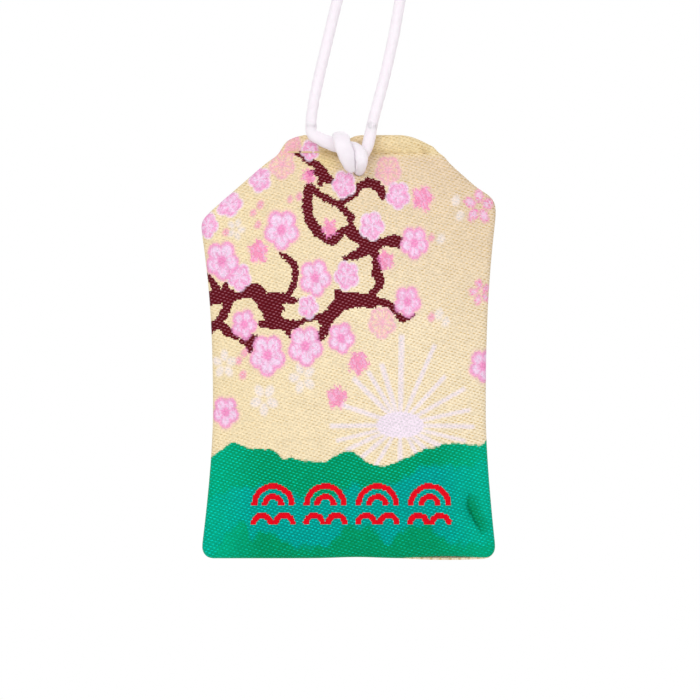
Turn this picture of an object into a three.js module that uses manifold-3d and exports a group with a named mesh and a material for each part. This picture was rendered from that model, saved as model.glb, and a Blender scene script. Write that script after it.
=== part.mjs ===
// An omamori: a small flat brocade pouch, sewn shut round a card and a wrapped paper slip,
// hung on a loop of white round cord that is hitched through a hole under its mouth edge.
// Millimetres, +Z up, front towards -Y. The origin is where the cord loop hangs on its hook.
import * as THREE from 'three';
import Module from 'manifold-3d';
import { mergeVertices } from 'three/addons/utils/BufferGeometryUtils.js';

// Pouch outline, measured from the middle of the bottom edge
const POUCH_HEIGHT = 75;
const BASE_HALF_WIDTH = 26.3;
const WAIST_HALF_WIDTH = 24.1;
const RIGHT_WAIST_EASE = 0.3;
const WAIST_HEIGHT = 25;
const SHOULDER_HALF_WIDTH = 26.5;
const LEFT_SHOULDER_HEIGHT = 59.8;
const RIGHT_SHOULDER_HEIGHT = 62.4;
const MOUTH_LEFT = 8.9;
const MOUTH_RIGHT = 14.1;
const MOUTH_RIGHT_DROOP = 1.6;
const MOUTH_DROOP_RUN = 5;
const BOTTOM_CORNER_RADIUS = 2.2;
const SHOULDER_ROUNDING = 1;
const BASE_CURVE = 1.5;
const SHOULDER_CURVE = 2.6;

// Cloth, seams and the swell of the two panels
const CLOTH_PLY = 0.35;
const PANEL_GAP = 0.3;
const EDGE_ROLL = 0.8;
const SEAM_ALLOWANCE = 5;
const FRONT_CROWN = 1.6;
const CROWN_RUN = 7.5;
const MOUTH_SEAM_DROP = 3.1;
const MOUTH_SEAM_PINCH = 0.32;
const MOUTH_PINCH_RUN = 0.9;
const LIP_SWELL = 0.35;

// Sewing threads
const MOUTH_THREAD_DIAMETER = 0.3;
const EDGE_THREAD_DIAMETER = 0.2;
const EDGE_THREAD_INSET = 1.4;
const STITCH_LENGTH = 2.4;
const STITCH_RISE = 0.12;

// Pieces inside the pouch
const INTERLINING_THICKNESS = 0.2;
const INTERLINING_MARGIN = 1.5;
const INTERLINING_TOP_MARGIN = 13;
const CARD_THICKNESS = 0.5;
const CARD_TOP_MARGIN = 16;
const CARD_CORNER = 3;
const WRAPPER_WIDTH = 27;
const WRAPPER_HEIGHT = 44;
const WRAPPER_DEPTH = 1.0;
const PAPER_WALL = 0.15;
const SLIP_MARGIN = 2;
const SLIP_THICKNESS = 0.3;
const CLEARANCE = 0.3;

// Cord, its hole and its hitch
const CORD_DIAMETER = 2;
const HOLE_X = 1.35;
const HOLE_DROP = 6.7;
const HOLE_WIDTH = 3;
const HOLE_HEIGHT = 3.2;
const LEG_X = -1.45;
const LEG_DIP = 1.35;
const LEG_DIP_RUN = 1.9;
const HITCH_PRESS = 0.85;
const HITCH_PRESS_RUN = 7;
const CROSSING_GAP = 0.42;
const HINGE_RISE = 1.2;
const LEFT_STRAND_X = -6.6;
const RIGHT_STRAND_X = 4.1;
const HOOK_X = 7.3;
const HOOK_RISE = 39;
const KNOT_X = 8.35;
const KNOT_RISE = 46.9;
const KNOT_LEAN = THREE.MathUtils.degToRad(12);
const KNOT_STRAND_SPACING = 2.45;
const KNOT_WRAP_RADIUS = 4;
const KNOT_WRAP_PITCH = 2.75;
const KNOT_WRAP_TURNS = 1.17;
const KNOT_WRAP_TOP = 4.6;
const KNOT_WRAP_START = THREE.MathUtils.degToRad(10);
const KNOT_TAIL_LENGTH = 11.5;

// Facets
const CORD_SIDES = 8;
const THREAD_SIDES = 5;
const HITCH_STEPS = 84;
const STRAND_STEPS = 18;
const KNOT_STEPS = 76;
const WRAP_POINTS_PER_TURN = 12;
const EDGE_THREAD_STEPS = 44;
const EDGE_SIDE_SHARES = [1, 0.8, 0.6, 0.4, 0.2, 0.08];
const EDGE_BOTTOM_SHARES = [-1, -0.5, 0, 0.5, 1];
const STEPS_PER_STITCH = 4;
const EDGE_STATIONS = [0, 0.12, 0.4, EDGE_ROLL, 1.8, 3.4, SEAM_ALLOWANCE, CROWN_RUN];
const PANEL_MIDDLE_COLUMNS = 6;
const PANEL_BODY_ROWS = 7;
const SHOULDER_STATIONS = [-1.2, 0.2, 1.6];
const LIP_ROWS = 5;
const LINING_COLUMNS = 12;
const LINING_ROWS = 14;
const HOLE_SIDES = 16;
const GAP_SAMPLES_PER_DIAMETER = 8;
const SHORTEST_TURN = 0.75 * Math.PI;

// Heights and depths that follow from them
const seamHeight = POUCH_HEIGHT - MOUTH_SEAM_DROP;
const holeHeight = POUCH_HEIGHT - HOLE_DROP;
const cordRadius = CORD_DIAMETER / 2;
const foldDepth = 2 * CLOTH_PLY;
const panelFace = PANEL_GAP / 2;
const frontInside = panelFace + foldDepth + FRONT_CROWN - CLOTH_PLY;
const cardFront = frontInside - 2 * CLEARANCE - INTERLINING_THICKNESS;
const wrapperFront = cardFront - CARD_THICKNESS - CLEARANCE;
const backInside = WRAPPER_DEPTH - wrapperFront + 2 * CLEARANCE + INTERLINING_THICKNESS;
const backCrown = backInside + CLOTH_PLY - panelFace - foldDepth;
const lipDepth = panelFace + foldDepth + LIP_SWELL;
const backLevel = lipDepth + CLEARANCE + cordRadius;
const frontLevel = -backLevel;
const overLevel = frontLevel - CORD_DIAMETER - CROSSING_GAP;

const BROCADE = new THREE.MeshStandardMaterial({ color: 0xecd7b2, roughness: 0.55, metalness: 0 });
const PAPER = new THREE.MeshStandardMaterial({ color: 0xf4f0e6, roughness: 0.9, metalness: 0 });
const CARD = new THREE.MeshStandardMaterial({ color: 0xb9ac97, roughness: 0.95, metalness: 0 });
const LINING = new THREE.MeshStandardMaterial({ color: 0xf1eee8, roughness: 0.9, metalness: 0 });
const THREAD = new THREE.MeshStandardMaterial({ color: 0xe9d6ae, roughness: 0.6, metalness: 0 });
const CORD = new THREE.MeshStandardMaterial({ color: 0xfaf4fa, roughness: 0.7, metalness: 0 });

const wasm = await Module();
wasm.setup();

function toSolid(geometry) {
  const bare = geometry.clone();
  bare.deleteAttribute('normal');
  bare.deleteAttribute('uv');
  const merged = mergeVertices(bare);
  return new wasm.Manifold(new wasm.Mesh({
    numProp: 3,
    vertProperties: new Float32Array(merged.attributes.position.array),
    triVerts: new Uint32Array(merged.index.array),
  }));
}

function toGeometry(solid) {
  const mesh = solid.getMesh();
  const geometry = new THREE.BufferGeometry();
  geometry.setAttribute('position', new THREE.BufferAttribute(mesh.vertProperties, 3));
  geometry.setIndex(new THREE.BufferAttribute(mesh.triVerts, 1));
  geometry.computeVertexNormals();
  return geometry;
}

function named(name, geometry, material) {
  const mesh = new THREE.Mesh(geometry, material);
  mesh.name = name;
  return mesh;
}

// A rise from 0 to 1 that levels out flat, and the quarter round of a rolled edge
function levelling(share) {
  return Math.sin(THREE.MathUtils.clamp(share, 0, 1) * Math.PI / 2);
}

function quarterRound(share) {
  const left = 1 - THREE.MathUtils.clamp(share, 0, 1);
  return Math.sqrt(1 - left * left);
}

function bell(distance, run) {
  return Math.exp(-((distance / run) ** 2));
}

// Half width of one side at a height: drawn in at the waist, rounded at the bottom corner,
// and cut back above the shoulder to the mouth's corner
function sideReach(height, waist, shoulderHeight, mouthReach, mouthHeight) {
  const below = Math.max(0, (WAIST_HEIGHT - height) / WAIST_HEIGHT);
  const above = Math.max(0, (height - WAIST_HEIGHT) / (shoulderHeight - WAIST_HEIGHT));
  const upright = waist
    + (BASE_HALF_WIDTH - waist) * below ** BASE_CURVE
    + (SHOULDER_HALF_WIDTH - waist) * above ** SHOULDER_CURVE;
  const slope = (SHOULDER_HALF_WIDTH - mouthReach) / (mouthHeight - shoulderHeight);
  const slant = mouthReach + (mouthHeight - height) * slope;
  const reach = (upright + slant - Math.hypot(upright - slant, SHOULDER_ROUNDING)) / 2;
  const corner = Math.max(0, BOTTOM_CORNER_RADIUS - height);
  return reach - BOTTOM_CORNER_RADIUS + Math.sqrt(BOTTOM_CORNER_RADIUS ** 2 - corner ** 2);
}

function leftEdge(height) {
  return -sideReach(height, WAIST_HALF_WIDTH, LEFT_SHOULDER_HEIGHT, MOUTH_LEFT, POUCH_HEIGHT);
}

function rightEdge(height) {
  const waist = WAIST_HALF_WIDTH + RIGHT_WAIST_EASE;
  const mouthHeight = POUCH_HEIGHT - MOUTH_RIGHT_DROOP;
  return sideReach(height, waist, RIGHT_SHOULDER_HEIGHT, MOUTH_RIGHT, mouthHeight);
}

// The mouth edge droops to its right corner and dips where the cord's leg crosses it
function mouthEdge(x) {
  const droop = 1 - levelling((MOUTH_RIGHT - x) / MOUTH_DROOP_RUN);
  return POUCH_HEIGHT - MOUTH_RIGHT_DROOP * droop - LEG_DIP * bell(x - LEG_X, LEG_DIP_RUN);
}

// Distance in from a side edge, square to it
function insideOf(edge, x, height) {
  const probe = Math.min(EDGE_ROLL, height / 2 + EDGE_ROLL / 2);
  const lean = (edge(height + probe) - edge(Math.max(0, height - probe))) / (2 * probe);
  return Math.abs(x - edge(height)) / Math.hypot(1, lean);
}

// How far a panel's outer face stands from the seam plane
function panelDepth(x, height, crown) {
  const left = insideOf(leftEdge, x, height);
  const right = insideOf(rightEdge, x, height);
  const nearest = Math.min(left, right, height, mouthEdge(x) - height);
  const press = bell(Math.hypot(x - HOLE_X, height - holeHeight), HITCH_PRESS_RUN);
  const swell = crown * (1 - HITCH_PRESS * press)
    * levelling(left / CROWN_RUN) * levelling(right / CROWN_RUN)
    * levelling(height / CROWN_RUN) * levelling((seamHeight - height) / CROWN_RUN);
  const lipShare = (height - seamHeight) / (mouthEdge(x) - seamHeight);
  const lip = LIP_SWELL * Math.sin(Math.PI * THREE.MathUtils.clamp(lipShare, 0, 1));
  const pinch = MOUTH_SEAM_PINCH * bell(height - seamHeight, MOUTH_PINCH_RUN);
  return panelFace + (foldDepth - pinch) * quarterRound(nearest / EDGE_ROLL) + swell + lip;
}

// How far its inner face stands from it: two plies in the seam allowance and the lip, then one
function liningDepth(x, height, crown) {
  const nearest = Math.min(insideOf(leftEdge, x, height), insideOf(rightEdge, x, height), height);
  const single = height < seamHeight && nearest >= SEAM_ALLOWANCE - PANEL_GAP;
  const cloth = single ? CLOTH_PLY : foldDepth;
  return Math.max(panelFace, panelDepth(x, height, crown) - cloth);
}

// Rows of [x, height] places over the whole panel, closer together at the edges and the mouth seam
function panelGrid() {
  const inner = EDGE_STATIONS.at(-1);
  const heights = [...EDGE_STATIONS];
  const bodyRun = seamHeight - 2 * inner;
  for (let row = 1; row < PANEL_BODY_ROWS; row += 1) {
    heights.push(inner + bodyRun * row / PANEL_BODY_ROWS);
  }
  for (const shoulder of [LEFT_SHOULDER_HEIGHT, RIGHT_SHOULDER_HEIGHT]) {
    heights.push(...SHOULDER_STATIONS.map((station) => shoulder + station));
  }
  heights.push(...EDGE_STATIONS.map((station) => seamHeight - station));
  heights.sort((low, high) => low - high);
  const rows = heights.map((height) => gridRow(leftEdge(height), rightEdge(height), () => height));
  for (let row = 1; row <= LIP_ROWS; row += 1) {
    const share = quarterRound(row / LIP_ROWS);
    const left = leftEdge(seamHeight + share * MOUTH_SEAM_DROP);
    const right = rightEdge(seamHeight + share * (MOUTH_SEAM_DROP - MOUTH_RIGHT_DROOP));
    rows.push(gridRow(left, right, (x) => seamHeight + share * (mouthEdge(x) - seamHeight)));
  }
  return rows;
}

function gridRow(left, right, heightAt) {
  const inner = EDGE_STATIONS.at(-1);
  const places = EDGE_STATIONS.map((station) => left + station);
  const middleRun = right - left - 2 * inner;
  for (let column = 1; column < PANEL_MIDDLE_COLUMNS; column += 1) {
    places.push(left + inner + middleRun * column / PANEL_MIDDLE_COLUMNS);
  }
  places.push(...EDGE_STATIONS.map((station) => right - station).reverse());
  return places.map((x) => [x, heightAt(x)]);
}

function liningGrid() {
  const inset = SEAM_ALLOWANCE + INTERLINING_MARGIN;
  const top = seamHeight - INTERLINING_TOP_MARGIN;
  const rows = [];
  for (let row = 0; row <= LINING_ROWS; row += 1) {
    const height = inset + (top - inset) * row / LINING_ROWS;
    const left = leftEdge(height) + inset;
    const right = rightEdge(height) - inset;
    rows.push(Array.from({ length: LINING_COLUMNS + 1 },
      (_, column) => [left + (right - left) * column / LINING_COLUMNS, height]));
  }
  return rows;
}

// A closed sheet over a grid of places, between an outer and an inner depth on one side of the
// seam plane (side -1 is the front); where both depths agree on the rim the faces share it
function sheet(rows, side, outerDepth, innerDepth) {
  const columns = rows[0].length;
  const position = [];
  for (const depth of [outerDepth, innerDepth]) {
    for (const row of rows) {
      for (const [x, height] of row) {
        position.push(x, side * depth(x, height), height);
      }
    }
  }
  const half = rows.length * columns;
  const index = [];
  const quad = (a, b, c, d) => index.push(a, b, c, a, c, d);
  for (let row = 0; row + 1 < rows.length; row += 1) {
    for (let column = 0; column + 1 < columns; column += 1) {
      const a = row * columns + column;
      quad(a, a + 1, a + 1 + columns, a + columns);
      quad(half + a, half + a + columns, half + a + columns + 1, half + a + 1);
    }
  }
  const rim = [];
  for (let column = 0; column + 1 < columns; column += 1) rim.push(column);
  for (let row = 0; row + 1 < rows.length; row += 1) rim.push(row * columns + columns - 1);
  for (let column = columns - 1; column > 0; column -= 1) rim.push(half - columns + column);
  for (let row = rows.length - 1; row > 0; row -= 1) rim.push(row * columns);
  rim.forEach((from, at) => {
    const to = rim[(at + 1) % rim.length];
    quad(from, half + from, half + to, to);
  });
  if (side > 0) {
    index.reverse();
  }
  const geometry = new THREE.BufferGeometry();
  geometry.setAttribute('position', new THREE.Float32BufferAttribute(position, 3));
  geometry.setIndex(index);
  return geometry;
}

// The oval hole goes square through the pouch
function holeCutter() {
  const outline = new THREE.Shape();
  outline.absellipse(HOLE_X, holeHeight, HOLE_WIDTH / 2, HOLE_HEIGHT / 2, 0, 2 * Math.PI);
  const depth = 2 * (frontInside + backInside);
  const cutter = new THREE.ExtrudeGeometry(outline,
    { depth, curveSegments: HOLE_SIDES / 2, bevelEnabled: false });
  cutter.translate(0, 0, -depth / 2);
  cutter.rotateX(Math.PI / 2);
  return toSolid(cutter);
}

function panel(side, crown) {
  const cloth = sheet(panelGrid(), side,
    (x, height) => panelDepth(x, height, crown), (x, height) => liningDepth(x, height, crown));
  return toGeometry(toSolid(cloth).subtract(holeCutter()));
}

function interlining(side, crown) {
  const outer = (x, height) => liningDepth(x, height, crown) - CLEARANCE;
  const inner = (x, height) => outer(x, height) - INTERLINING_THICKNESS;
  return sheet(liningGrid(), side, outer, inner);
}

// Flat pieces are drawn in the plane of the pouch and given their thickness towards the back
function flatPiece(outline, front, thickness) {
  const geometry = new THREE.ExtrudeGeometry(outline, { depth: thickness, bevelEnabled: false });
  geometry.rotateX(Math.PI / 2);
  geometry.translate(0, thickness - front, 0);
  return geometry;
}

function clippedRectangle(halfWidth, low, high, clip) {
  return new THREE.Shape([
    new THREE.Vector2(-halfWidth, low),
    new THREE.Vector2(halfWidth, low),
    new THREE.Vector2(halfWidth, high - clip),
    new THREE.Vector2(halfWidth - clip, high),
    new THREE.Vector2(clip - halfWidth, high),
    new THREE.Vector2(-halfWidth, high - clip),
  ]);
}

const cardBottom = CROWN_RUN;
const cardTop = seamHeight - CARD_TOP_MARGIN;
const wrapperBottom = (cardBottom + cardTop - WRAPPER_HEIGHT) / 2;

function stiffenerCard() {
  const outline = clippedRectangle(WAIST_HALF_WIDTH - CROWN_RUN, cardBottom, cardTop, CARD_CORNER);
  return flatPiece(outline, cardFront, CARD_THICKNESS);
}

// The wrapper is a sleeve of folded paper, open at its top and bottom
function slipWrapper() {
  const halfWidth = WRAPPER_WIDTH / 2;
  const outline = new THREE.Shape([
    new THREE.Vector2(-halfWidth, 0),
    new THREE.Vector2(halfWidth, 0),
    new THREE.Vector2(halfWidth, WRAPPER_DEPTH),
    new THREE.Vector2(-halfWidth, WRAPPER_DEPTH),
  ]);
  outline.holes.push(new THREE.Path([
    new THREE.Vector2(PAPER_WALL - halfWidth, PAPER_WALL),
    new THREE.Vector2(PAPER_WALL - halfWidth, WRAPPER_DEPTH - PAPER_WALL),
    new THREE.Vector2(halfWidth - PAPER_WALL, WRAPPER_DEPTH - PAPER_WALL),
    new THREE.Vector2(halfWidth - PAPER_WALL, PAPER_WALL),
  ]));
  const sleeve = new THREE.ExtrudeGeometry(outline, { depth: WRAPPER_HEIGHT, bevelEnabled: false });
  sleeve.translate(0, -wrapperFront, wrapperBottom);
  return sleeve;
}

function blessingSlip() {
  const low = wrapperBottom + SLIP_MARGIN;
  const high = wrapperBottom + WRAPPER_HEIGHT - SLIP_MARGIN;
  const outline = clippedRectangle(WRAPPER_WIDTH / 2 - SLIP_MARGIN, low, high, SLIP_MARGIN);
  const front = wrapperFront - (WRAPPER_DEPTH - SLIP_THICKNESS) / 2;
  return flatPiece(outline, front, SLIP_THICKNESS);
}

// A round cord or thread along a smooth curve through its points
function cordAlong(points, diameter, sides, steps) {
  const ring = Array.from({ length: sides }, (_, side) => {
    const turn = 2 * Math.PI * side / sides;
    return new THREE.Vector2(Math.cos(turn), Math.sin(turn)).multiplyScalar(diameter / 2);
  });
  const path = new THREE.CatmullRomCurve3(points, false, 'centripetal');
  return new THREE.ExtrudeGeometry(new THREE.Shape(ring),
    { steps, extrudePath: path, bevelEnabled: false });
}

function at(x, y, z) {
  return new THREE.Vector3(x, y, z);
}

// The mouth seam's stitches lie in the crease, each one bowed a little off the cloth
function mouthThread(side, crown) {
  const from = leftEdge(seamHeight) + EDGE_THREAD_INSET;
  const to = rightEdge(seamHeight) - EDGE_THREAD_INSET;
  const steps = Math.round((to - from) / STITCH_LENGTH) * STEPS_PER_STITCH;
  const points = Array.from({ length: steps + 1 }, (_, step) => {
    const x = from + (to - from) * step / steps;
    const bow = STITCH_RISE * Math.abs(Math.sin(Math.PI * step / STEPS_PER_STITCH));
    const depth = panelDepth(x, seamHeight, crown) + MOUTH_THREAD_DIAMETER + bow;
    return at(x, side * depth, seamHeight);
  });
  return cordAlong(points, MOUTH_THREAD_DIAMETER, THREAD_SIDES, steps);
}

// The edge seam runs down one side, along the bottom and up the other, between the panels
function edgeThread() {
  const low = EDGE_THREAD_INSET;
  const sideRun = (edge, top, inset) => EDGE_SIDE_SHARES.map((share) => {
    const height = low + (top - low) * share;
    return at(edge(height) + inset, 0, height);
  });
  const corner = BOTTOM_CORNER_RADIUS + EDGE_THREAD_INSET;
  const left = sideRun(leftEdge, LEFT_SHOULDER_HEIGHT - corner, EDGE_THREAD_INSET);
  const right = sideRun(rightEdge, RIGHT_SHOULDER_HEIGHT - corner, -EDGE_THREAD_INSET);
  const bottom = EDGE_BOTTOM_SHARES.map((share) => at(share * (BASE_HALF_WIDTH - corner), 0, low));
  return cordAlong([...left, ...bottom, ...right.reverse()],
    EDGE_THREAD_DIAMETER, THREAD_SIDES, EDGE_THREAD_STEPS);
}

// Route of the hitch: each place is given across the pouch, by its depth and by its drop below the
// mouth edge. The cord comes down on the left, passes under its own leg, rises over its bar and
// goes in at the hole, climbs the back, comes over the mouth edge as the leg, turns to the right
// as the bar under itself, and leaves upwards on the right
const legTop = POUCH_HEIGHT - mouthEdge(LEG_X) - CLEARANCE - cordRadius;
const hitchPlaces = [
  [LEFT_STRAND_X, frontLevel, -HINGE_RISE],
  [LEFT_STRAND_X, frontLevel, -0.5],
  [-6.2, frontLevel, 0.25],
  [-5, frontLevel, 0.95],
  [-3.4, frontLevel, 1.75],
  [-1.75, frontLevel - 0.05, 2.35],
  [-0.2, frontLevel - 0.3, 2.3],
  [0.95, frontLevel - 1.25, 2.5],
  [1.8, overLevel + 0.05, 3.55],
  [2, overLevel - 0.2, 4.7],
  [1.95, overLevel + 0.25, 5.85],
  [1.7, frontLevel - 0.95, 6.9],
  [HOLE_X + 0.1, frontLevel + 0.6, HOLE_DROP + 0.4],
  [HOLE_X, 0, HOLE_DROP],
  [HOLE_X - 0.1, backLevel - 0.8, HOLE_DROP - 0.2],
  [0.95, backLevel, 5.3],
  [0.2, backLevel + 0.15, 3.4],
  [-0.75, backLevel, 1.7],
  [-1.25, backLevel - 0.8, legTop + 0.3],
  [LEG_X, 0, legTop],
  [LEG_X, frontLevel, legTop - 0.15],
  [-1.4, overLevel + 0.7, 0.5],
  [-1.2, overLevel - 0.25, 2.25],
  [-0.8, overLevel + 0.15, 3.85],
  [-0.15, frontLevel - 1.1, 4.85],
  [0.7, frontLevel - 0.25, 4.8],
  [1.8, frontLevel, 4.5],
  [2.75, frontLevel, 3.8],
  [3.25, frontLevel, 2.6],
  [3.7, frontLevel, 1],
  [3.9, frontLevel, -0.2],
  [RIGHT_STRAND_X, frontLevel, -HINGE_RISE],
];
const hitchRoute = hitchPlaces.map(([x, depth, drop]) => at(x, depth, POUCH_HEIGHT - drop));

// Least gap between stretches of a cord that are not next to each other along it
function leastGap(points, diameter) {
  const path = new THREE.CatmullRomCurve3(points, false, 'centripetal');
  const spacing = diameter / GAP_SAMPLES_PER_DIAMETER;
  const samples = path.getSpacedPoints(Math.ceil(path.getLength() / spacing));
  const apart = Math.ceil(GAP_SAMPLES_PER_DIAMETER * SHORTEST_TURN);
  let least = Infinity;
  samples.forEach((a, i) => {
    for (let j = i + apart; j < samples.length; j += 1) {
      least = Math.min(least, a.distanceTo(samples[j]) - diameter);
    }
  });
  return least;
}

// Both ends of the hitch are round, centred on the line that the pouch swings about, so that the
// strands meet them at any swing
function cordHitch() {
  const body = toSolid(cordAlong(hitchRoute, CORD_DIAMETER, CORD_SIDES, HITCH_STEPS));
  const domes = [hitchRoute[0], hitchRoute.at(-1)].map((end) => {
    const dome = new THREE.SphereGeometry(cordRadius, CORD_SIDES, CORD_SIDES);
    dome.rotateX(Math.PI / 2);
    dome.translate(end.x, end.y, end.z);
    return toSolid(dome);
  });
  return toGeometry(body.add(domes[0]).add(domes[1]));
}

// The end knot: the right strand is tied round the left one in an overhand knot. A place in it is
// given across the loop, towards the back, and up along the knot's own leaning axis
const strandOffset = KNOT_STRAND_SPACING / 2;
const strandBack = KNOT_STRAND_SPACING / 4;

function inKnot(across, back, along) {
  return at(
    KNOT_X + across * Math.cos(KNOT_LEAN) + along * Math.sin(KNOT_LEAN),
    frontLevel + back,
    POUCH_HEIGHT + KNOT_RISE - across * Math.sin(KNOT_LEAN) + along * Math.cos(KNOT_LEAN),
  );
}

// The strand rises beside the other, turns over the top, winds down round both strands and its
// own tail, and is tucked up in front of them through its own turn
function knotRoute() {
  const route = [
    [strandOffset, strandBack, CLEARANCE],
    [strandOffset, strandBack, KNOT_WRAP_TOP / 2],
    [strandOffset, strandBack, KNOT_WRAP_TOP - 0.4],
    [1.4, 0.9, KNOT_WRAP_TOP + 0.8],
    [1.95, 1.6, KNOT_WRAP_TOP + 1.5],
    [2.8, 2.1, KNOT_WRAP_TOP + 1.35],
    [3.6, 1.75, KNOT_WRAP_TOP + 0.65],
  ];
  const points = Math.round(KNOT_WRAP_TURNS * WRAP_POINTS_PER_TURN);
  for (let point = 0; point <= points; point += 1) {
    const turns = KNOT_WRAP_TURNS * point / points;
    const angle = KNOT_WRAP_START - 2 * Math.PI * turns;
    route.push([
      KNOT_WRAP_RADIUS * Math.cos(angle),
      KNOT_WRAP_RADIUS * Math.sin(angle),
      KNOT_WRAP_TOP - KNOT_WRAP_PITCH * turns,
    ]);
  }
  const wrapEnd = KNOT_WRAP_TOP - KNOT_WRAP_PITCH * KNOT_WRAP_TURNS;
  route.push(
    [0.95, -3.95, wrapEnd - 0.5],
    [0.3, -4.05, wrapEnd - 1.3],
    [0.05, -3.65, wrapEnd - 2.15],
    [0, -2.8, wrapEnd - 2.5],
    [0, -1.95, wrapEnd - 2.1],
    [0, -1.56, wrapEnd - 1.2],
    [0, -1.56, KNOT_WRAP_TOP],
    [0.1, -1.66, KNOT_TAIL_LENGTH - 4],
    [0.6, -2.16, KNOT_TAIL_LENGTH - 1],
  );
  return route.map(([across, back, along]) => inKnot(across, back, along));
}

function endKnot() {
  return cordAlong(knotRoute(), CORD_DIAMETER, CORD_SIDES, KNOT_STEPS);
}

// Routes of the two strands, as places across the pouch and rises above its mouth edge. The right
// one ends where the knot begins, and the left one runs up through the knot to its tail
const strandFoot = HINGE_RISE + cordRadius + CLEARANCE;
const leftStrandPlaces = [
  [-6.58, strandFoot], [-6.3, 4.6], [-5.3, 9.5], [-4.15, 14.5], [-2.95, 19.5],
  [-1.7, 24.5], [-0.2, 29.5], [2, 34.5], [4.6, 39.5], [6.6, 44.5],
];
const rightStrandPlaces = [
  [4.4, strandFoot], [4.95, 4.6], [6.25, 9.5], [7.4, 14.5], [8.4, 19.5],
  [9.25, 24.5], [9.9, 29.5], [10.15, 34.5], [9.9, 39.5], [9.35, 44.5],
];

function strandRoute(places) {
  return places.map(([x, rise]) => at(x, frontLevel, POUCH_HEIGHT + rise));
}

function leftStrand() {
  const route = [
    ...strandRoute(leftStrandPlaces),
    inKnot(-strandOffset, strandBack, 0),
    inKnot(-strandOffset, strandBack, 2.5),
    inKnot(-strandOffset, strandBack, 5),
    inKnot(-strandOffset, strandBack, 7.5),
    inKnot(-1.7, 0.8, KNOT_TAIL_LENGTH),
  ];
  return cordAlong(route, CORD_DIAMETER, CORD_SIDES, STRAND_STEPS);
}

function rightStrand() {
  const route = [...strandRoute(rightStrandPlaces), inKnot(strandOffset, strandBack, 0)];
  return cordAlong(route, CORD_DIAMETER, CORD_SIDES, STRAND_STEPS);
}

console.log('least gap of the hitch to itself, mm:', leastGap(hitchRoute, CORD_DIAMETER).toFixed(2));
console.log('least gap of the end knot to itself, mm:', leastGap(knotRoute(), CORD_DIAMETER).toFixed(2));

const pouch = new THREE.Group();
pouch.add(
  named('front_panel', panel(-1, FRONT_CROWN), BROCADE),
  named('back_panel', panel(1, backCrown), BROCADE),
  named('front_interlining', interlining(-1, FRONT_CROWN), LINING),
  named('back_interlining', interlining(1, backCrown), LINING),
  named('stiffener_card', stiffenerCard(), CARD),
  named('slip_wrapper', slipWrapper(), PAPER),
  named('blessing_slip', blessingSlip(), PAPER),
  named('edge_seam_thread', edgeThread(), THREAD),
  named('mouth_needle_thread', mouthThread(-1, FRONT_CROWN), THREAD),
  named('mouth_bobbin_thread', mouthThread(1, backCrown), THREAD),
  named('cord_hitch', cordHitch(), CORD),
  named('left_strand', leftStrand(), CORD),
  named('right_strand', rightStrand(), CORD),
  named('end_knot', endKnot(), CORD),
);

// The hook holds the loop just under the end knot, so that point is the origin
pouch.position.set(-HOOK_X, -frontLevel, -(POUCH_HEIGHT + HOOK_RISE));

const charm = new THREE.Group();
charm.add(pouch);
export default charm;
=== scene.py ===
# An omamori: a small flat brocade pouch with a woven blossom bough, sewn shut round a card and a
# wrapped paper slip, and hung on a loop of white plaited cord that is hitched through its mouth.
import math

import bpy
import numpy as np
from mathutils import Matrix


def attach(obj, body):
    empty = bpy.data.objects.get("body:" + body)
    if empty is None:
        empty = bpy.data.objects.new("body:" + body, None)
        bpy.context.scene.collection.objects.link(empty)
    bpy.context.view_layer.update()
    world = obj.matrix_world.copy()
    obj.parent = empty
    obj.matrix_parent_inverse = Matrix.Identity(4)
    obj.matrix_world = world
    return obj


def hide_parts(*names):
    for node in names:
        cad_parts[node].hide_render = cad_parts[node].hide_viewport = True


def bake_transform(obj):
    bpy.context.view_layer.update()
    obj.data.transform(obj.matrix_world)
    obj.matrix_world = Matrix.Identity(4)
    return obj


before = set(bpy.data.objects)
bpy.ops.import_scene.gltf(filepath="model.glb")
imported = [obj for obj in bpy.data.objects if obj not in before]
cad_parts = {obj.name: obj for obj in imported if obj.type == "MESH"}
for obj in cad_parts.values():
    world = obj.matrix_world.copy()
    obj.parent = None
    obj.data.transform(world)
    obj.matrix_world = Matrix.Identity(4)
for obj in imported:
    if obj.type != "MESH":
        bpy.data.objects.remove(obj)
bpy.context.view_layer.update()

# The studio. A pale floor lies well below the hanging charm, two soft lamps stand in front of it
# and a weak one behind, and the camera looks straight at the pouch against a white background.
VIEW_WIDTH = 0.1235
VIEW_CENTRE = (-0.00704, 0.0, -0.0772)
LENS = 100
SENSOR = 36
AMBIENT = 0.62
FLOOR_HEIGHT = -0.25
FLOOR_SIZE = 0.9
FLOOR_GLOW = 0.9
FLOOR_RIM_FROM, FLOOR_RIM_TO = 0.16, 0.42
SOFTBOXES = {
    "key_softbox": {"place": (-0.28, -0.6, 0.32), "size": 0.55, "power": 2.35},
    "fill_softbox": {"place": (0.5, -0.6, -0.2), "size": 0.6, "power": 1.35},
    "back_softbox": {"place": (0.2, 0.6, 0.25), "size": 0.5, "power": 1.5},
}


def linear(red, green, blue):
    """A colour as the eye names it, 0 to 255, in the linear light that finishes are mixed in."""
    shares = (channel / 255 for channel in (red, green, blue))
    bent = (s / 12.92 if s <= 0.04045 else ((s + 0.055) / 1.055) ** 2.4 for s in shares)
    return (*bent, 1.0)


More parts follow.
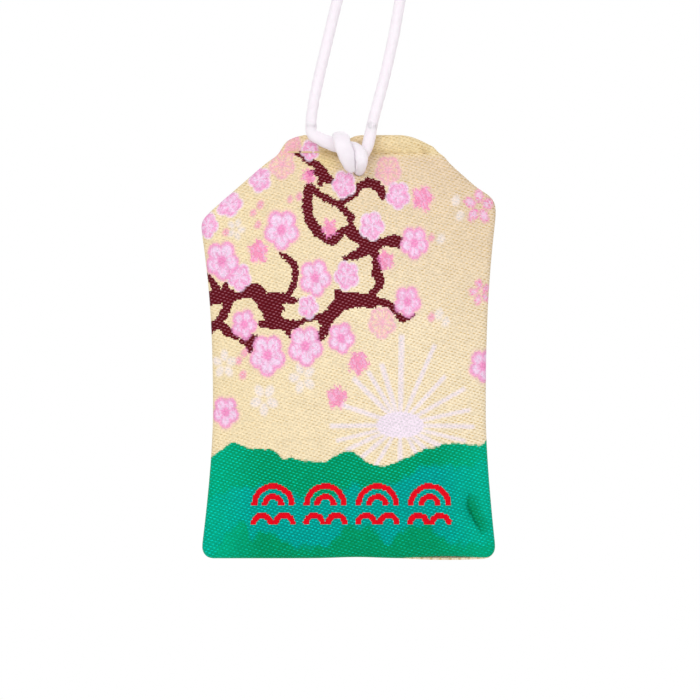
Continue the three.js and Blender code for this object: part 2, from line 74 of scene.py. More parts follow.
class Reading:
    """A value read over a surface. Sums written with it become nodes of its board."""

    def __init__(self, board, socket):
        self.board = board
        self.socket = socket

    def part(self, name):
        return Reading(self.board, self.socket.node.outputs[name])

    def __add__(self, other):
        return self.board.sum("ADD", self, other)

    def __sub__(self, other):
        return self.board.sum("SUBTRACT", self, other)

    def __rsub__(self, other):
        return self.board.sum("SUBTRACT", other, self)

    def __mul__(self, other):
        return self.board.sum("MULTIPLY", self, other)

    def __truediv__(self, other):
        return self.board.sum("DIVIDE", self, other)

    __radd__ = __add__
    __rmul__ = __mul__


class Board:
    """The node tree of one finish or of the studio's light."""

    def __init__(self, tree):
        self.tree = tree

    def node(self, kind, settings=None, sockets=None, output=0):
        made = self.tree.nodes.new(kind)
        for name, value in (settings or {}).items():
            setattr(made, name, value)
        self.feed(made, sockets or {})
        return Reading(self, made.outputs[output])

    def feed(self, made, sockets):
        for name, value in sockets.items():
            if isinstance(value, Reading):
                self.tree.links.new(value.socket, made.inputs[name])
            else:
                made.inputs[name].default_value = value

    def sum(self, operation, *values):
        return self.node("ShaderNodeMath", {"operation": operation}, dict(enumerate(values)))

    def mix(self, share, first, second):
        sockets = {0: share, 6: first, 7: second}
        return self.node("ShaderNodeMix", {"data_type": "RGBA"}, sockets, 2)

    def shade(self, colour, brightness):
        sockets = {0: colour, "Scale": brightness}
        return self.node("ShaderNodeVectorMath", {"operation": "SCALE"}, sockets)

    def noise(self, place, scale, detail):
        sockets = {"Vector": place, "Scale": scale, "Detail": detail}
        return self.node("ShaderNodeTexNoise", sockets=sockets)

    def chance(self, across, up):
        place = self.node("ShaderNodeCombineXYZ", sockets={"X": across, "Y": up})
        return self.node("ShaderNodeTexWhiteNoise", {"noise_dimensions": "2D"}, {"Vector": place})

    def bump(self, height, strength, depth):
        sockets = {"Height": height, "Strength": strength, "Distance": depth}
        return self.node("ShaderNodeBump", sockets=sockets)


def new_finish(name, roughness, **constants):
    """A material with its shader's plain values set, its board, and its shader."""
    material = bpy.data.materials.new(name)
    material.use_nodes = True
    shader = material.node_tree.nodes["Principled BSDF"]
    shader.inputs["Roughness"].default_value = roughness
    for socket, value in constants.items():
        shader.inputs[socket.replace("_", " ")].default_value = value
    return material, Board(material.node_tree), shader


def seen_directly(board):
    """1 for what the lens, a reflection or a clear piece sees, 0 for light on its way."""
    path = board.node("ShaderNodeLightPath", output="Is Camera Ray")
    seen = path + path.part("Is Glossy Ray") + path.part("Is Transmission Ray")
    return board.sum("MINIMUM", seen, 1.0)


world = bpy.data.worlds.new("white_room")
bpy.context.scene.world = world
world.use_nodes = True
room = Board(world.node_tree)
background = world.node_tree.nodes["Background"]
background.inputs["Color"].default_value = (1, 1, 1, 1)
room.feed(background, {"Strength": seen_directly(room) * (1 - AMBIENT) + AMBIENT})

bpy.ops.object.select_all(action="DESELECT")
camera_gap = VIEW_WIDTH * LENS / SENSOR
bpy.ops.object.camera_add(
    location=(VIEW_CENTRE[0], VIEW_CENTRE[1] - camera_gap, VIEW_CENTRE[2]),
    rotation=(math.pi / 2, 0, 0),
)
camera = bpy.context.object
camera.data.lens = LENS
camera.data.sensor_width = SENSOR
bpy.context.scene.camera = camera
bpy.context.scene.view_settings.view_transform = "Standard"

for name, softbox in SOFTBOXES.items():
    bpy.ops.object.light_add(type="AREA", location=softbox["place"])
    lamp = bpy.context.object
    lamp.name = name
    lamp.data.size = softbox["size"]
    lamp.data.energy = softbox["power"]
    towards = np.array(VIEW_CENTRE) - np.array(softbox["place"])
    lean = math.atan2(math.hypot(towards[0], towards[1]), -towards[2])
    lamp.rotation_euler = (lean, 0, math.atan2(-towards[0], towards[1]))

bpy.ops.mesh.primitive_plane_add(size=FLOOR_SIZE, location=(VIEW_CENTRE[0], 0, FLOOR_HEIGHT))
floor = bpy.context.object
floor.name = "studio_floor"
floor_finish, floor_board, floor_shader = new_finish("pale_floor", 0.9)
floor_shader.inputs["Base Color"].default_value = linear(244, 244, 243)
glow = floor_board.node("ShaderNodeEmission", sockets={"Strength": 1.0})
floor_place = floor_board.node("ShaderNodeTexCoord", output="Object")
reach = floor_board.node("ShaderNodeVectorMath", {"operation": "LENGTH"}, {0: floor_place}, "Value")
rim = {
    "Value": reach, "From Min": FLOOR_RIM_FROM, "From Max": FLOOR_RIM_TO,
    "To Min": FLOOR_GLOW, "To Max": 1.0,
}
rim_glow = floor_board.node("ShaderNodeMapRange", {"interpolation_type": "SMOOTHSTEP"}, rim)
glow_share = floor_board.node("ShaderNodeLightPath", output="Is Camera Ray") * rim_glow
lit = Reading(floor_board, floor_shader.outputs["BSDF"])
floor_surface = floor_board.node("ShaderNodeMixShader", sockets={0: glow_share, 1: lit, 2: glow})
floor_output = floor_finish.node_tree.nodes["Material Output"]
floor_board.feed(floor_output, {"Surface": floor_surface})
floor.data.materials.append(floor_finish)

# The paper slip with the blessing, the folded paper sleeve that wraps it, and the grey board that
# keeps the pouch flat. Handmade paper shows long fibres, and the board is pressed from pulp.
PAPER_SCALE = 900.0


def pressed_fibre_finish(name, pale, dark, stretch, relief):
    """Paper or board: fibres drawn out along one direction, with a faint tooth."""
    finish, board, shader = new_finish(name, 0.9, Specular_IOR_Level=0.2)
    place = board.node("ShaderNodeTexCoord", output="Object")
    sockets = {"Vector": place, "Scale": (PAPER_SCALE, PAPER_SCALE, PAPER_SCALE / stretch)}
    drawn_out = board.node("ShaderNodeMapping", sockets=sockets)
    fibre = board.noise(drawn_out, 1.0, 5.0)
    board.feed(shader, {"Base Color": board.mix(fibre, linear(*dark), linear(*pale))})
    board.feed(shader, {"Normal": board.bump(fibre, 0.4, relief)})
    return finish


def repaint(node, finish):
    """Gives a CAD node that keeps its own shape a finish."""
    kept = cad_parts[node]
    kept.data.materials.clear()
    kept.data.materials.append(finish)


slip_paper = pressed_fibre_finish("slip_paper", (250, 246, 236), (226, 216, 196), 6, 0.00005)
sleeve_paper = pressed_fibre_finish("sleeve_paper", (252, 250, 245), (232, 226, 214), 9, 0.00005)
grey_board = pressed_fibre_finish("grey_board", (196, 184, 163), (150, 136, 116), 2, 0.0001)
repaint("blessing_slip", slip_paper)
repaint("slip_wrapper", sleeve_paper)
repaint("stiffener_card", grey_board)

# The two interlinings: white bonded fleece cut smaller than the panels, laid behind each one so
# that the brocade swells evenly. They follow the panels' shape from the inside.
MM = 0.001
HOOK_X = 7.3
HOOK_HEIGHT = 114.0
CORD_LEVEL = -2.5
POUCH_HEIGHT = 75.0
BASE_HALF_WIDTH = 26.3
WAIST_HALF_WIDTH = 24.1
RIGHT_WAIST_EASE = 0.3
WAIST_HEIGHT = 25.0
SHOULDER_HALF_WIDTH = 26.5
LEFT_SHOULDER_HEIGHT = 59.8
RIGHT_SHOULDER_HEIGHT = 62.4
MOUTH_LEFT = 8.9
MOUTH_RIGHT = 14.1
MOUTH_RIGHT_DROOP = 1.6
MOUTH_DROOP_RUN = 5.0
BOTTOM_CORNER_RADIUS = 2.2
SHOULDER_ROUNDING = 1.0
BASE_CURVE = 1.5
SHOULDER_CURVE = 2.6
CLOTH_PLY = 0.35
PANEL_FACE = 0.15
EDGE_ROLL = 0.8
FRONT_CROWN = 1.6
BACK_CROWN = 0.8
CROWN_RUN = 7.5
SEAM_HEIGHT = 71.9
MOUTH_SEAM_PINCH = 0.32
MOUTH_PINCH_RUN = 0.9
LIP_SWELL = 0.35
LIP_END_RUN = 2.5
# How far each end of the lip stands out, is rounded off, and is drawn in below the mouth seam
LEFT_EAR = (0.8, 1.1, 0.35)
RIGHT_EAR = (0.42, 0.1, -0.42)
EAR_FULLNESS_TURN = 1.5
EAR_CORNER_TURN = 10
EAR_DRAW_DROP, EAR_DRAW_RUN = 0.7, 0.8
RIGHT_PEAK = 0.85
RIGHT_PEAK_HEIGHT, RIGHT_PEAK_RUN = 63.95, 1.0
HOLE_X = 1.9
HOLE_HEIGHT = 68.7
LEG_X = -1.45
LEG_DIP = 1.35
LEG_DIP_RUN = 1.9
HITCH_PRESS = 0.85
HITCH_PRESS_RUN = 7.0
CLEARANCE = 0.3
FLEECE_INSET = 6.5
FLEECE_TOP = 58.9
FLEECE_THICKNESS = 0.2
FLEECE_CELLS = (26, 38)
FRONT, BACK = -1, 1


def to_frame(points):
    """Millimetres from the middle of the pouch's bottom edge, as metres in the shared frame."""
    return (np.asarray(points, float) - (HOOK_X, CORD_LEVEL, HOOK_HEIGHT)) * MM


def levelling(share):
    return np.sin(np.clip(share, 0, 1) * np.pi / 2)


def quarter_round(share):
    return np.sqrt(1 - (1 - np.clip(share, 0, 1)) ** 2)


def bell(distance, run):
    return np.exp(-((distance / run) ** 2))


def side_reach(height, waist, shoulder_height, mouth_reach, mouth_height):
    """Half width of one side: drawn in at the waist, round at the bottom, cut back to the mouth."""
    below = np.maximum(0, (WAIST_HEIGHT - height) / WAIST_HEIGHT)
    above = np.maximum(0, (height - WAIST_HEIGHT) / (shoulder_height - WAIST_HEIGHT))
    upright = waist + (BASE_HALF_WIDTH - waist) * below**BASE_CURVE
    upright = upright + (SHOULDER_HALF_WIDTH - waist) * above**SHOULDER_CURVE
    slope = (SHOULDER_HALF_WIDTH - mouth_reach) / (mouth_height - shoulder_height)
    slant = mouth_reach + (mouth_height - height) * slope
    reach = (upright + slant - np.hypot(upright - slant, SHOULDER_ROUNDING)) / 2
    corner = np.clip(BOTTOM_CORNER_RADIUS - height, 0, BOTTOM_CORNER_RADIUS)
    return reach - BOTTOM_CORNER_RADIUS + np.sqrt(BOTTOM_CORNER_RADIUS**2 - corner**2)


def lip_ear(height, mouth_height, fullness, rounding, draw):
    """How far the lip's end stands out past the slanting edge, which the mouth seam draws in."""
    share = np.clip((height - SEAM_HEIGHT) / (mouth_height - SEAM_HEIGHT), 0, 1)
    ear = fullness * np.sin(np.pi * share**EAR_FULLNESS_TURN) - rounding * share**EAR_CORNER_TURN
    return ear - draw * bell(height - SEAM_HEIGHT + EAR_DRAW_DROP, EAR_DRAW_RUN)


def left_edge(height):
    reach = side_reach(height, WAIST_HALF_WIDTH, LEFT_SHOULDER_HEIGHT, MOUTH_LEFT, POUCH_HEIGHT)
    return -reach - lip_ear(height, POUCH_HEIGHT, *LEFT_EAR)


def right_edge(height):
    waist, mouth_height = WAIST_HALF_WIDTH + RIGHT_WAIST_EASE, POUCH_HEIGHT - MOUTH_RIGHT_DROOP
    reach = side_reach(height, waist, RIGHT_SHOULDER_HEIGHT, MOUTH_RIGHT, mouth_height)
    peak = RIGHT_PEAK * bell(height - RIGHT_PEAK_HEIGHT, RIGHT_PEAK_RUN)
    return reach + peak + lip_ear(height, mouth_height, *RIGHT_EAR)


def mouth_edge(x):
    """The mouth edge droops to its right corner and dips where the cord's leg crosses it."""
    droop = 1 - levelling((MOUTH_RIGHT - x) / MOUTH_DROOP_RUN)
    return POUCH_HEIGHT - MOUTH_RIGHT_DROOP * droop - LEG_DIP * bell(x - LEG_X, LEG_DIP_RUN)


def inside_of(edge, x, height):
    """Distance in from a side edge, square to it."""
    probe = np.minimum(EDGE_ROLL, height / 2 + EDGE_ROLL / 2)
    lean = (edge(height + probe) - edge(np.maximum(0, height - probe))) / (2 * probe)
    return np.abs(x - edge(height)) / np.hypot(1, lean)


def nearest_edge(x, height):
    sides = np.minimum(inside_of(left_edge, x, height), inside_of(right_edge, x, height))
    return np.minimum(sides, np.minimum(height, mouth_edge(x) - height))


def panel_depth(x, height, crown):
    """How far a panel's outer face stands from the plane of the edge seam."""
    left = inside_of(left_edge, x, height)
    right = inside_of(right_edge, x, height)
    press = bell(np.hypot(x - HOLE_X, height - HOLE_HEIGHT), HITCH_PRESS_RUN)
    swell = crown * (1 - HITCH_PRESS * press)
    swell = swell * levelling(left / CROWN_RUN) * levelling(right / CROWN_RUN)
    swell = swell * levelling(height / CROWN_RUN) * levelling((SEAM_HEIGHT - height) / CROWN_RUN)
    lip_share = (height - SEAM_HEIGHT) / (mouth_edge(x) - SEAM_HEIGHT)
    lip_end = levelling(np.minimum(left, right) / LIP_END_RUN)
    lip = LIP_SWELL * np.sin(np.pi * np.clip(lip_share, 0, 1)) * lip_end
    pinch = MOUTH_SEAM_PINCH * bell(height - SEAM_HEIGHT, MOUTH_PINCH_RUN)
    roll = (2 * CLOTH_PLY - pinch) * quarter_round(nearest_edge(x, height) / EDGE_ROLL)
    return PANEL_FACE + roll + swell + lip


def points_of(piece):
    flat = np.empty(len(piece.data.vertices) * 3)
    piece.data.vertices.foreach_get("co", flat)
    return flat.reshape(-1, 3)


def move_points(piece, points):
    piece.data.vertices.foreach_set("co", np.ascontiguousarray(points, float).ravel())
    piece.data.update()


def woven_grid(name, across, up):
    """A flat grid of that many cells, with the column and row of each of its points."""
    bpy.ops.object.select_all(action="DESELECT")
    bpy.ops.mesh.primitive_grid_add(x_subdivisions=across, y_subdivisions=up, size=2)
    piece = bpy.context.object
    piece.name = name
    flat = points_of(piece)
    column = np.rint((flat[:, 0] + 1) / 2 * across).astype(int)
    row = np.rint((flat[:, 1] + 1) / 2 * up).astype(int)
    return piece, column, row


def take_up(piece):
    """Selects a piece alone and makes it the one that the next operators act on."""
    bpy.ops.object.select_all(action="DESELECT")
    piece.select_set(True)
    bpy.context.view_layer.objects.active = piece


def apply_modifier(piece, kind, **settings):
    take_up(piece)
    bpy.ops.object.modifier_add(type=kind)
    modifier = piece.modifiers[-1]
    for setting, value in settings.items():
        setattr(modifier, setting, value)
    bpy.ops.object.modifier_apply(modifier=modifier.name)


def turn_faces_round(piece):
    take_up(piece)
    bpy.ops.object.mode_set(mode="EDIT")
    bpy.ops.mesh.select_all(action="SELECT")
    bpy.ops.mesh.flip_normals()
    bpy.ops.object.mode_set(mode="OBJECT")


def bonded_fleece_finish():
    """White non-woven fleece: a tangle of fine fibres with point bonds in a small grid."""
    finish, board, shader = new_finish("bonded_fleece", 0.95, Specular_IOR_Level=0.1)
    place = board.node("ShaderNodeTexCoord", output="Object")
    tangle = board.noise(place, 2400.0, 6.0)
    sockets = {"Vector": place, "Scale": 1400.0, "Randomness": 0.2}
    bond = board.node("ShaderNodeTexVoronoi", sockets=sockets, output="Distance")
    height = tangle * 0.5 + bond
    board.feed(shader, {"Base Color": board.mix(height, linear(214, 210, 203), linear(249, 248, 245))})
    board.feed(shader, {"Normal": board.bump(height, 0.5, 0.00008)})
    return finish


def interlining(name, node, side, crown, finish):
    piece, column, row = woven_grid(name, *FLEECE_CELLS)
    height = FLEECE_INSET + (FLEECE_TOP - FLEECE_INSET) * row / FLEECE_CELLS[1]
    left = left_edge(height) + FLEECE_INSET
    right = right_edge(height) - FLEECE_INSET
    x = left + (right - left) * column / FLEECE_CELLS[0]
    depth = panel_depth(x, height, crown) - CLOTH_PLY - CLEARANCE
    move_points(piece, to_frame(np.stack([x, side * depth, height], axis=1)))
    if side == BACK:
        turn_faces_round(piece)
    apply_modifier(piece, "SOLIDIFY", thickness=FLEECE_THICKNESS * MM, offset=-1.0)
    piece.data.materials.append(finish)
    bpy.ops.object.shade_smooth_by_angle()
    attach(piece, "pouch")
    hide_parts(node)
    cut = ((right - left).max() * MM, (FLEECE_TOP - FLEECE_INSET) * MM)
    return piece


fleece = bonded_fleece_finish()
interlining("front_fleece", "front_interlining", FRONT, FRONT_CROWN, fleece)
interlining("back_fleece", "back_interlining", BACK, BACK_CROWN, fleece)

# The front panel: brocade woven in one piece with its picture, a blossom bough over hills and a
# rising sun, cut to the pouch's outline, turned in at the edges and drawn shut at the mouth.
EDGE_STATIONS = np.array([0, 0.12, 0.35, 0.7, 1.15, 1.75, 2.5, 3.4, 4.4])
MIDDLE_CELLS = 44
BODY_CELLS = 60
LIP_CELLS = 8
SEAM_TOUCH = 0.03
HOLE_BLOCK = 2
HOLE_GRIP = (1.05, 1.1)
HOLE_PULL = {2: 1.0, 3: 0.62, 4: 0.3, 5: 0.1}
CLOTH_SPAN = 100.0
FRONT_BASE_LIFT = 0.35
BASE_LIFT_FROM, BASE_LIFT_TO = 9.0, 26.0
BASE_LIFT_FADE = 3.0
BASE_SAG = 0.22
BASE_ARCH_X, BASE_ARCH_RUN = 1.5, 5.0
EDGE_OPENING = 0.75
SWELL_SCALE = 10.0
SWELL_STEPS = 20
SWELL_CAP = 0.45
SWELL_CLOTH = {
    "quality": 6, "mass": 0.2, "air_damping": 3, "tension_stiffness": 8, "compression_stiffness": 8,
    "bending_stiffness": 0.4, "use_pressure": True, "uniform_pressure_force": 1.5,
}
EDGE_HOLD = 3.0
MOUTH_HOLD = 1.0
HOLE_HOLD = 3.0
HOLD_FADE = 5.0
FINE_LEVELS = 2


def lip_height(x, share):
    return SEAM_HEIGHT + share * (mouth_edge(x) - SEAM_HEIGHT)


def sheet_places():
    """Where each point of a panel lies before it is cut, by row and column."""
    inner = EDGE_STATIONS[-1]
    body = np.linspace(inner, SEAM_HEIGHT - inner, BODY_CELLS + 1)[1:-1]
    heights = np.concatenate([EDGE_STATIONS, body, SEAM_HEIGHT - EDGE_STATIONS[::-1]])
    rows = [row_places(left_edge(h), right_edge(h), lambda x, h=h: np.full_like(x, h)) for h in heights]
    for cell in range(1, LIP_CELLS + 1):
        share = quarter_round(cell / LIP_CELLS)
        left = left_edge(SEAM_HEIGHT + share * (POUCH_HEIGHT - SEAM_HEIGHT))
        right = right_edge(SEAM_HEIGHT + share * (POUCH_HEIGHT - MOUTH_RIGHT_DROOP - SEAM_HEIGHT))
        rows.append(row_places(left, right, lambda x, share=share: lip_height(x, share)))
    return np.stack(rows)


def row_places(left, right, height_at):
    inner = EDGE_STATIONS[-1]
    middle = np.linspace(left + inner, right - inner, MIDDLE_CELLS + 1)[1:-1]
    x = np.concatenate([left + EDGE_STATIONS, middle, right - EDGE_STATIONS[::-1]])
    return np.stack([x, height_at(x)], axis=1)


def fit_hole(places):
    """Draws the grid round the cord's oval hole, and tells which points lie inside it."""
    gap = np.hypot(places[..., 0] - HOLE_X, places[..., 1] - HOLE_HEIGHT)
    middle_row, middle_column = np.unravel_index(np.argmin(gap), gap.shape)
    fitted = places.copy()
    rings = np.zeros(gap.shape, int)
    for row in range(gap.shape[0]):
        for column in range(gap.shape[1]):
            up, across = row - middle_row, column - middle_column
            ring = max(abs(up), abs(across))
            rings[row, column] = ring
            if ring not in HOLE_PULL:
                continue
            turn = math.atan2(up, across)
            spread = ring / HOLE_BLOCK
            across, up = HOLE_GRIP[0] * math.cos(turn), HOLE_GRIP[1] * math.sin(turn)
            oval = np.array([HOLE_X + spread * across, HOLE_HEIGHT + spread * up])
            fitted[row, column] += HOLE_PULL[ring] * (oval - places[row, column])
    return fitted, rings < HOLE_BLOCK


def flat_place(x, height):
    """The same point on the cloth laid out flat, with the rolled edges opened up, in millimetres."""
    inside = np.minimum(nearest_edge(x, height), EDGE_ROLL)
    opened = EDGE_OPENING * (np.pi / 2 - np.arccos(1 - inside / EDGE_ROLL)) - (EDGE_ROLL - inside)
    sides = np.minimum(inside_of(left_edge, x, height), inside_of(right_edge, x, height))
    ends = np.minimum(height, mouth_edge(x) - height)
    across = np.where(sides < ends, np.sign(x) * opened, 0)
    up = np.where(sides < ends, 0, np.where(height < WAIST_HEIGHT, -opened, opened))
    return x + across, height + up


def select_only(piece, kind, chosen):
    """Leaves only the points or edges of a piece that are marked as chosen selected, in edit mode."""
    take_up(piece)
    bpy.ops.object.mode_set(mode="EDIT")
    bpy.ops.mesh.select_mode(type=kind)
    bpy.ops.mesh.select_all(action="DESELECT")
    bpy.ops.object.mode_set(mode="OBJECT")
    kinds = {"VERT": piece.data.vertices, "EDGE": piece.data.edges}
    kinds[kind].foreach_set("select", np.asarray(chosen, bool))
    bpy.ops.object.mode_set(mode="EDIT")


def cut_hole(piece, inside):
    select_only(piece, "VERT", inside)
    bpy.ops.mesh.delete(type="VERT")
    bpy.ops.object.mode_set(mode="OBJECT")


def cut_panel(name, side, crown, lift):
    """One panel as a coarse curved sheet with its hole, and its flat places as a UV map."""
    places, inside = fit_hole(sheet_places())
    rows, columns = places.shape[:2]
    piece, column, row = woven_grid(name, columns - 1, rows - 1)
    x, height = places[row, column].T
    flat_x, flat_height = flat_place(x, height)
    closing = (PANEL_FACE - SEAM_TOUCH) * (1 - quarter_round(nearest_edge(x, height) / EDGE_ROLL))
    depth = panel_depth(x, height, crown) - closing
    window = np.clip((x - BASE_LIFT_FROM) / (BASE_LIFT_TO - BASE_LIFT_FROM), 0, 1)
    sag = BASE_SAG * (1 - bell(x - BASE_ARCH_X, BASE_ARCH_RUN))
    raised = height + (lift * np.sin(np.pi * window) - sag) * np.clip(1 - height / BASE_LIFT_FADE, 0, 1)
    move_points(piece, to_frame(np.stack([x, side * depth, raised], axis=1)))
    cloth_map = piece.data.uv_layers.active
    cloth_map.name = "cloth"
    corners = np.empty(len(piece.data.loops), int)
    piece.data.loops.foreach_get("vertex_index", corners)
    flat = np.stack([flat_x / CLOTH_SPAN + 0.5, flat_height / CLOTH_SPAN], axis=1)
    cloth_map.data.foreach_set("uv", flat[corners].ravel())
    cut_hole(piece, inside[row, column])
    if side == BACK:
        turn_faces_round(piece)
    return piece


def pouch_places(piece):
    """A panel's points again in millimetres from the middle of the pouch's bottom edge."""
    return points_of(piece) / MM + (HOOK_X, CORD_LEVEL, HOOK_HEIGHT)


def swell_panel(piece):
    """Lets the sewn cloth fill out over what it holds, held at its seams, the mouth and the hole."""
    rest = pouch_places(piece)
    x, height = rest[:, 0], rest[:, 2]
    from_hole = np.hypot(x - HOLE_X, height - HOLE_HEIGHT)
    loose = np.clip(nearest_edge(x, height) / EDGE_HOLD, 0, 1)
    loose = loose * np.clip((SEAM_HEIGHT - MOUTH_HOLD - height) / HOLD_FADE, 0, 1)
    loose = loose * np.clip((from_hole - HOLE_HOLD) / HOLD_FADE, 0, 1)
    held = piece.vertex_groups.new(name="held")
    for index, share in enumerate(1 - loose):
        held.add([index], float(share), "REPLACE")
    move_points(piece, points_of(piece) * SWELL_SCALE)
    take_up(piece)
    bpy.ops.object.modifier_add(type="CLOTH")
    cloth = piece.modifiers[-1]
    for setting, value in SWELL_CLOTH.items():
        setattr(cloth.settings, setting, value)
    cloth.settings.vertex_group_mass = held.name
    cloth.settings.effector_weights.gravity = 0
    scene = bpy.context.scene
    for step in range(1, SWELL_STEPS + 1):
        scene.frame_set(step)
    bpy.ops.object.modifier_apply(modifier=cloth.name)
    scene.frame_set(1)
    move_points(piece, points_of(piece) / SWELL_SCALE)
    moved = pouch_places(piece) - rest
    length = np.linalg.norm(moved, axis=1, keepdims=True)
    capped = moved * np.minimum(1, SWELL_CAP / np.maximum(length, 1e-6))
    move_points(piece, to_frame(rest + capped))


def line_gap(x, height, line):
    """Distance to a drawn line, its side, and how far along it the nearest place is, 0 to 1."""
    line = np.asarray(line, float)
    runs = np.linalg.norm(np.diff(line, axis=0), axis=1)
    best = np.full(x.shape, np.inf)
    side = np.zeros(x.shape)
    along = np.zeros(x.shape)
    for index, run in enumerate(runs):
        start, way = line[index], (line[index + 1] - line[index]) / run
        forward = (x - start[0]) * way[0] + (height - start[1]) * way[1]
        across = (x - start[0]) * way[1] - (height - start[1]) * way[0]
        reached = np.clip(forward, 0, run)
        gap = np.hypot(across, forward - reached)
        nearer = gap < best
        best = np.where(nearer, gap, best)
        side = np.where(nearer, np.sign(across), side)
        along = np.where(nearer, (runs[:index].sum() + reached) / runs.sum(), along)
    return best, side, along


CORNER_CREASE = [(21.7, 11.7), (21.1, 10.6), (21.0, 9.2), (21.9, 7.2), (23.0, 5.4), (23.8, 4.0)]
CREASE_DEPTH, CREASE_STEEP_RUN, CREASE_EASY_RUN = 0.5, 0.3, 0.75
CREASE_BANK, CREASE_BANK_GAP, CREASE_BANK_RUN = 0.3, 0.9, 0.8
MOUTH_EAR = [(11.6, 74.0), (12.6, 73.4), (13.7, 72.6), (14.7, 71.8)]
EAR_RISE, EAR_DIP, EAR_DIP_GAP, EAR_RUN = 0.25, 0.12, 0.7, 0.4
SLACK_DEPTH = 0.3
SLACK_PLACE, SLACK_HALF = (6.0, 71.2), (3.5, 0.8)
EASE_FADE = 4.0


def within_oval(x, height, place, half):
    """Distance from an oval's middle, as a share of its half sizes."""
    return np.hypot((x - place[0]) / half[0], (height - place[1]) / half[1])


def front_creases(x, height):
    """What handling has left in the front: a crease by the corner and slack by the hitch."""
    gap, side, along = line_gap(x, height, CORNER_CREASE)
    fold = np.sin(np.pi * np.clip(along, 0.02, 0.98)) ** 0.6
    crease = -CREASE_DEPTH * bell(gap, np.where(side < 0, CREASE_STEEP_RUN, CREASE_EASY_RUN)) * fold
    crease = crease + CREASE_BANK * bell(gap - CREASE_BANK_GAP, CREASE_BANK_RUN) * (side < 0) * fold
    slack = -SLACK_DEPTH * bell(within_oval(x, height, SLACK_PLACE, SLACK_HALF), 1)
    gap, side, along = line_gap(x, height, MOUTH_EAR)
    ear = EAR_RISE * bell(gap, EAR_RUN) - EAR_DIP * bell(gap - EAR_DIP_GAP, EAR_RUN) * (side > 0)
    ear = ear * np.sin(np.pi * along)
    ease = 0.07 * np.sin(0.43 * x + 0.31 * height) + 0.06 * np.sin(0.36 * height - 0.52 * x + 1.0)
    return crease + slack + ear + ease * np.clip(nearest_edge(x, height) / EASE_FADE, 0, 1)


def crease_panel(piece, side, creases):
    places = pouch_places(piece)
    places[:, 1] += side * creases(places[:, 0], places[:, 2])
    move_points(piece, to_frame(places))


def open_edges(piece):
    """Marks the edges of a sheet that have a face on one side only, and gives their first points."""
    used = np.empty(len(piece.data.loops), int)
    piece.data.loops.foreach_get("edge_index", used)
    ends = np.empty(len(piece.data.edges) * 2, int)
    piece.data.edges.foreach_get("vertices", ends)
    return np.bincount(used, minlength=len(piece.data.edges)) == 1, ends[::2]


def join_rims(piece, near_hole):
    """Closes the ply between its two faces, round the hole or round the outline."""
    places = pouch_places(piece)
    round_hole = np.hypot(places[:, 0] - HOLE_X, places[:, 2] - HOLE_HEIGHT) < 2 * HOLE_GRIP[1]
    rims, first = open_edges(piece)
    select_only(piece, "EDGE", rims & (round_hole[first] == near_hole))
    bpy.ops.mesh.bridge_edge_loops()
    bpy.ops.object.mode_set(mode="OBJECT")


def give_ply(piece, side, creases):
    """Doubles the sheet into a closed ply: a fine outer face, a coarse inner face, joined rims."""
    take_up(piece)
    bpy.ops.object.duplicate()
    inner = bpy.context.object
    apply_modifier(piece, "SUBSURF", levels=FINE_LEVELS, render_levels=FINE_LEVELS, uv_smooth="NONE")
    crease_panel(piece, side, creases)
    crease_panel(inner, side, creases)
    take_up(inner)
    bpy.ops.object.mode_set(mode="EDIT")
    bpy.ops.mesh.select_all(action="SELECT")
    bpy.ops.transform.shrink_fatten(value=-CLOTH_PLY * MM)
    bpy.ops.mesh.flip_normals()
    bpy.ops.object.mode_set(mode="OBJECT")
    piece.select_set(True)
    bpy.context.view_layer.objects.active = piece
    bpy.ops.object.join()
    join_rims(piece, near_hole=True)
    join_rims(piece, near_hole=False)
    bpy.ops.object.shade_smooth()


# Dyes of the picture's yarns, and colours that paint shade, light and sheen onto the cloth
DYES_AND_PAINTED_LIGHT = {
    "cream": (242, 226, 196),
    # painted shade, darkening the ground towards the upper right
    "shade_sand": (224, 201, 175),
    "straw": (232, 208, 146),
    "pale_petal": (238, 184, 217),
    "white_petal": (240, 213, 237),
    "pink": (237, 149, 199),
    "deep_pink": (238, 124, 182),
    "salmon": (240, 176, 172),
    "ghost": (242, 227, 222),
    "maroon": (91, 12, 22),
    "sun": (239, 223, 236),
    "green": (0, 138, 87),
    # painted sheen, laid on the hills towards their sides
    "sheen_mint": (0, 166, 123),
    "deep_green": (0, 104, 66),
    "teal": (0, 144, 131),
    "red": (228, 8, 26),
    "crimson": (188, 10, 40),
}
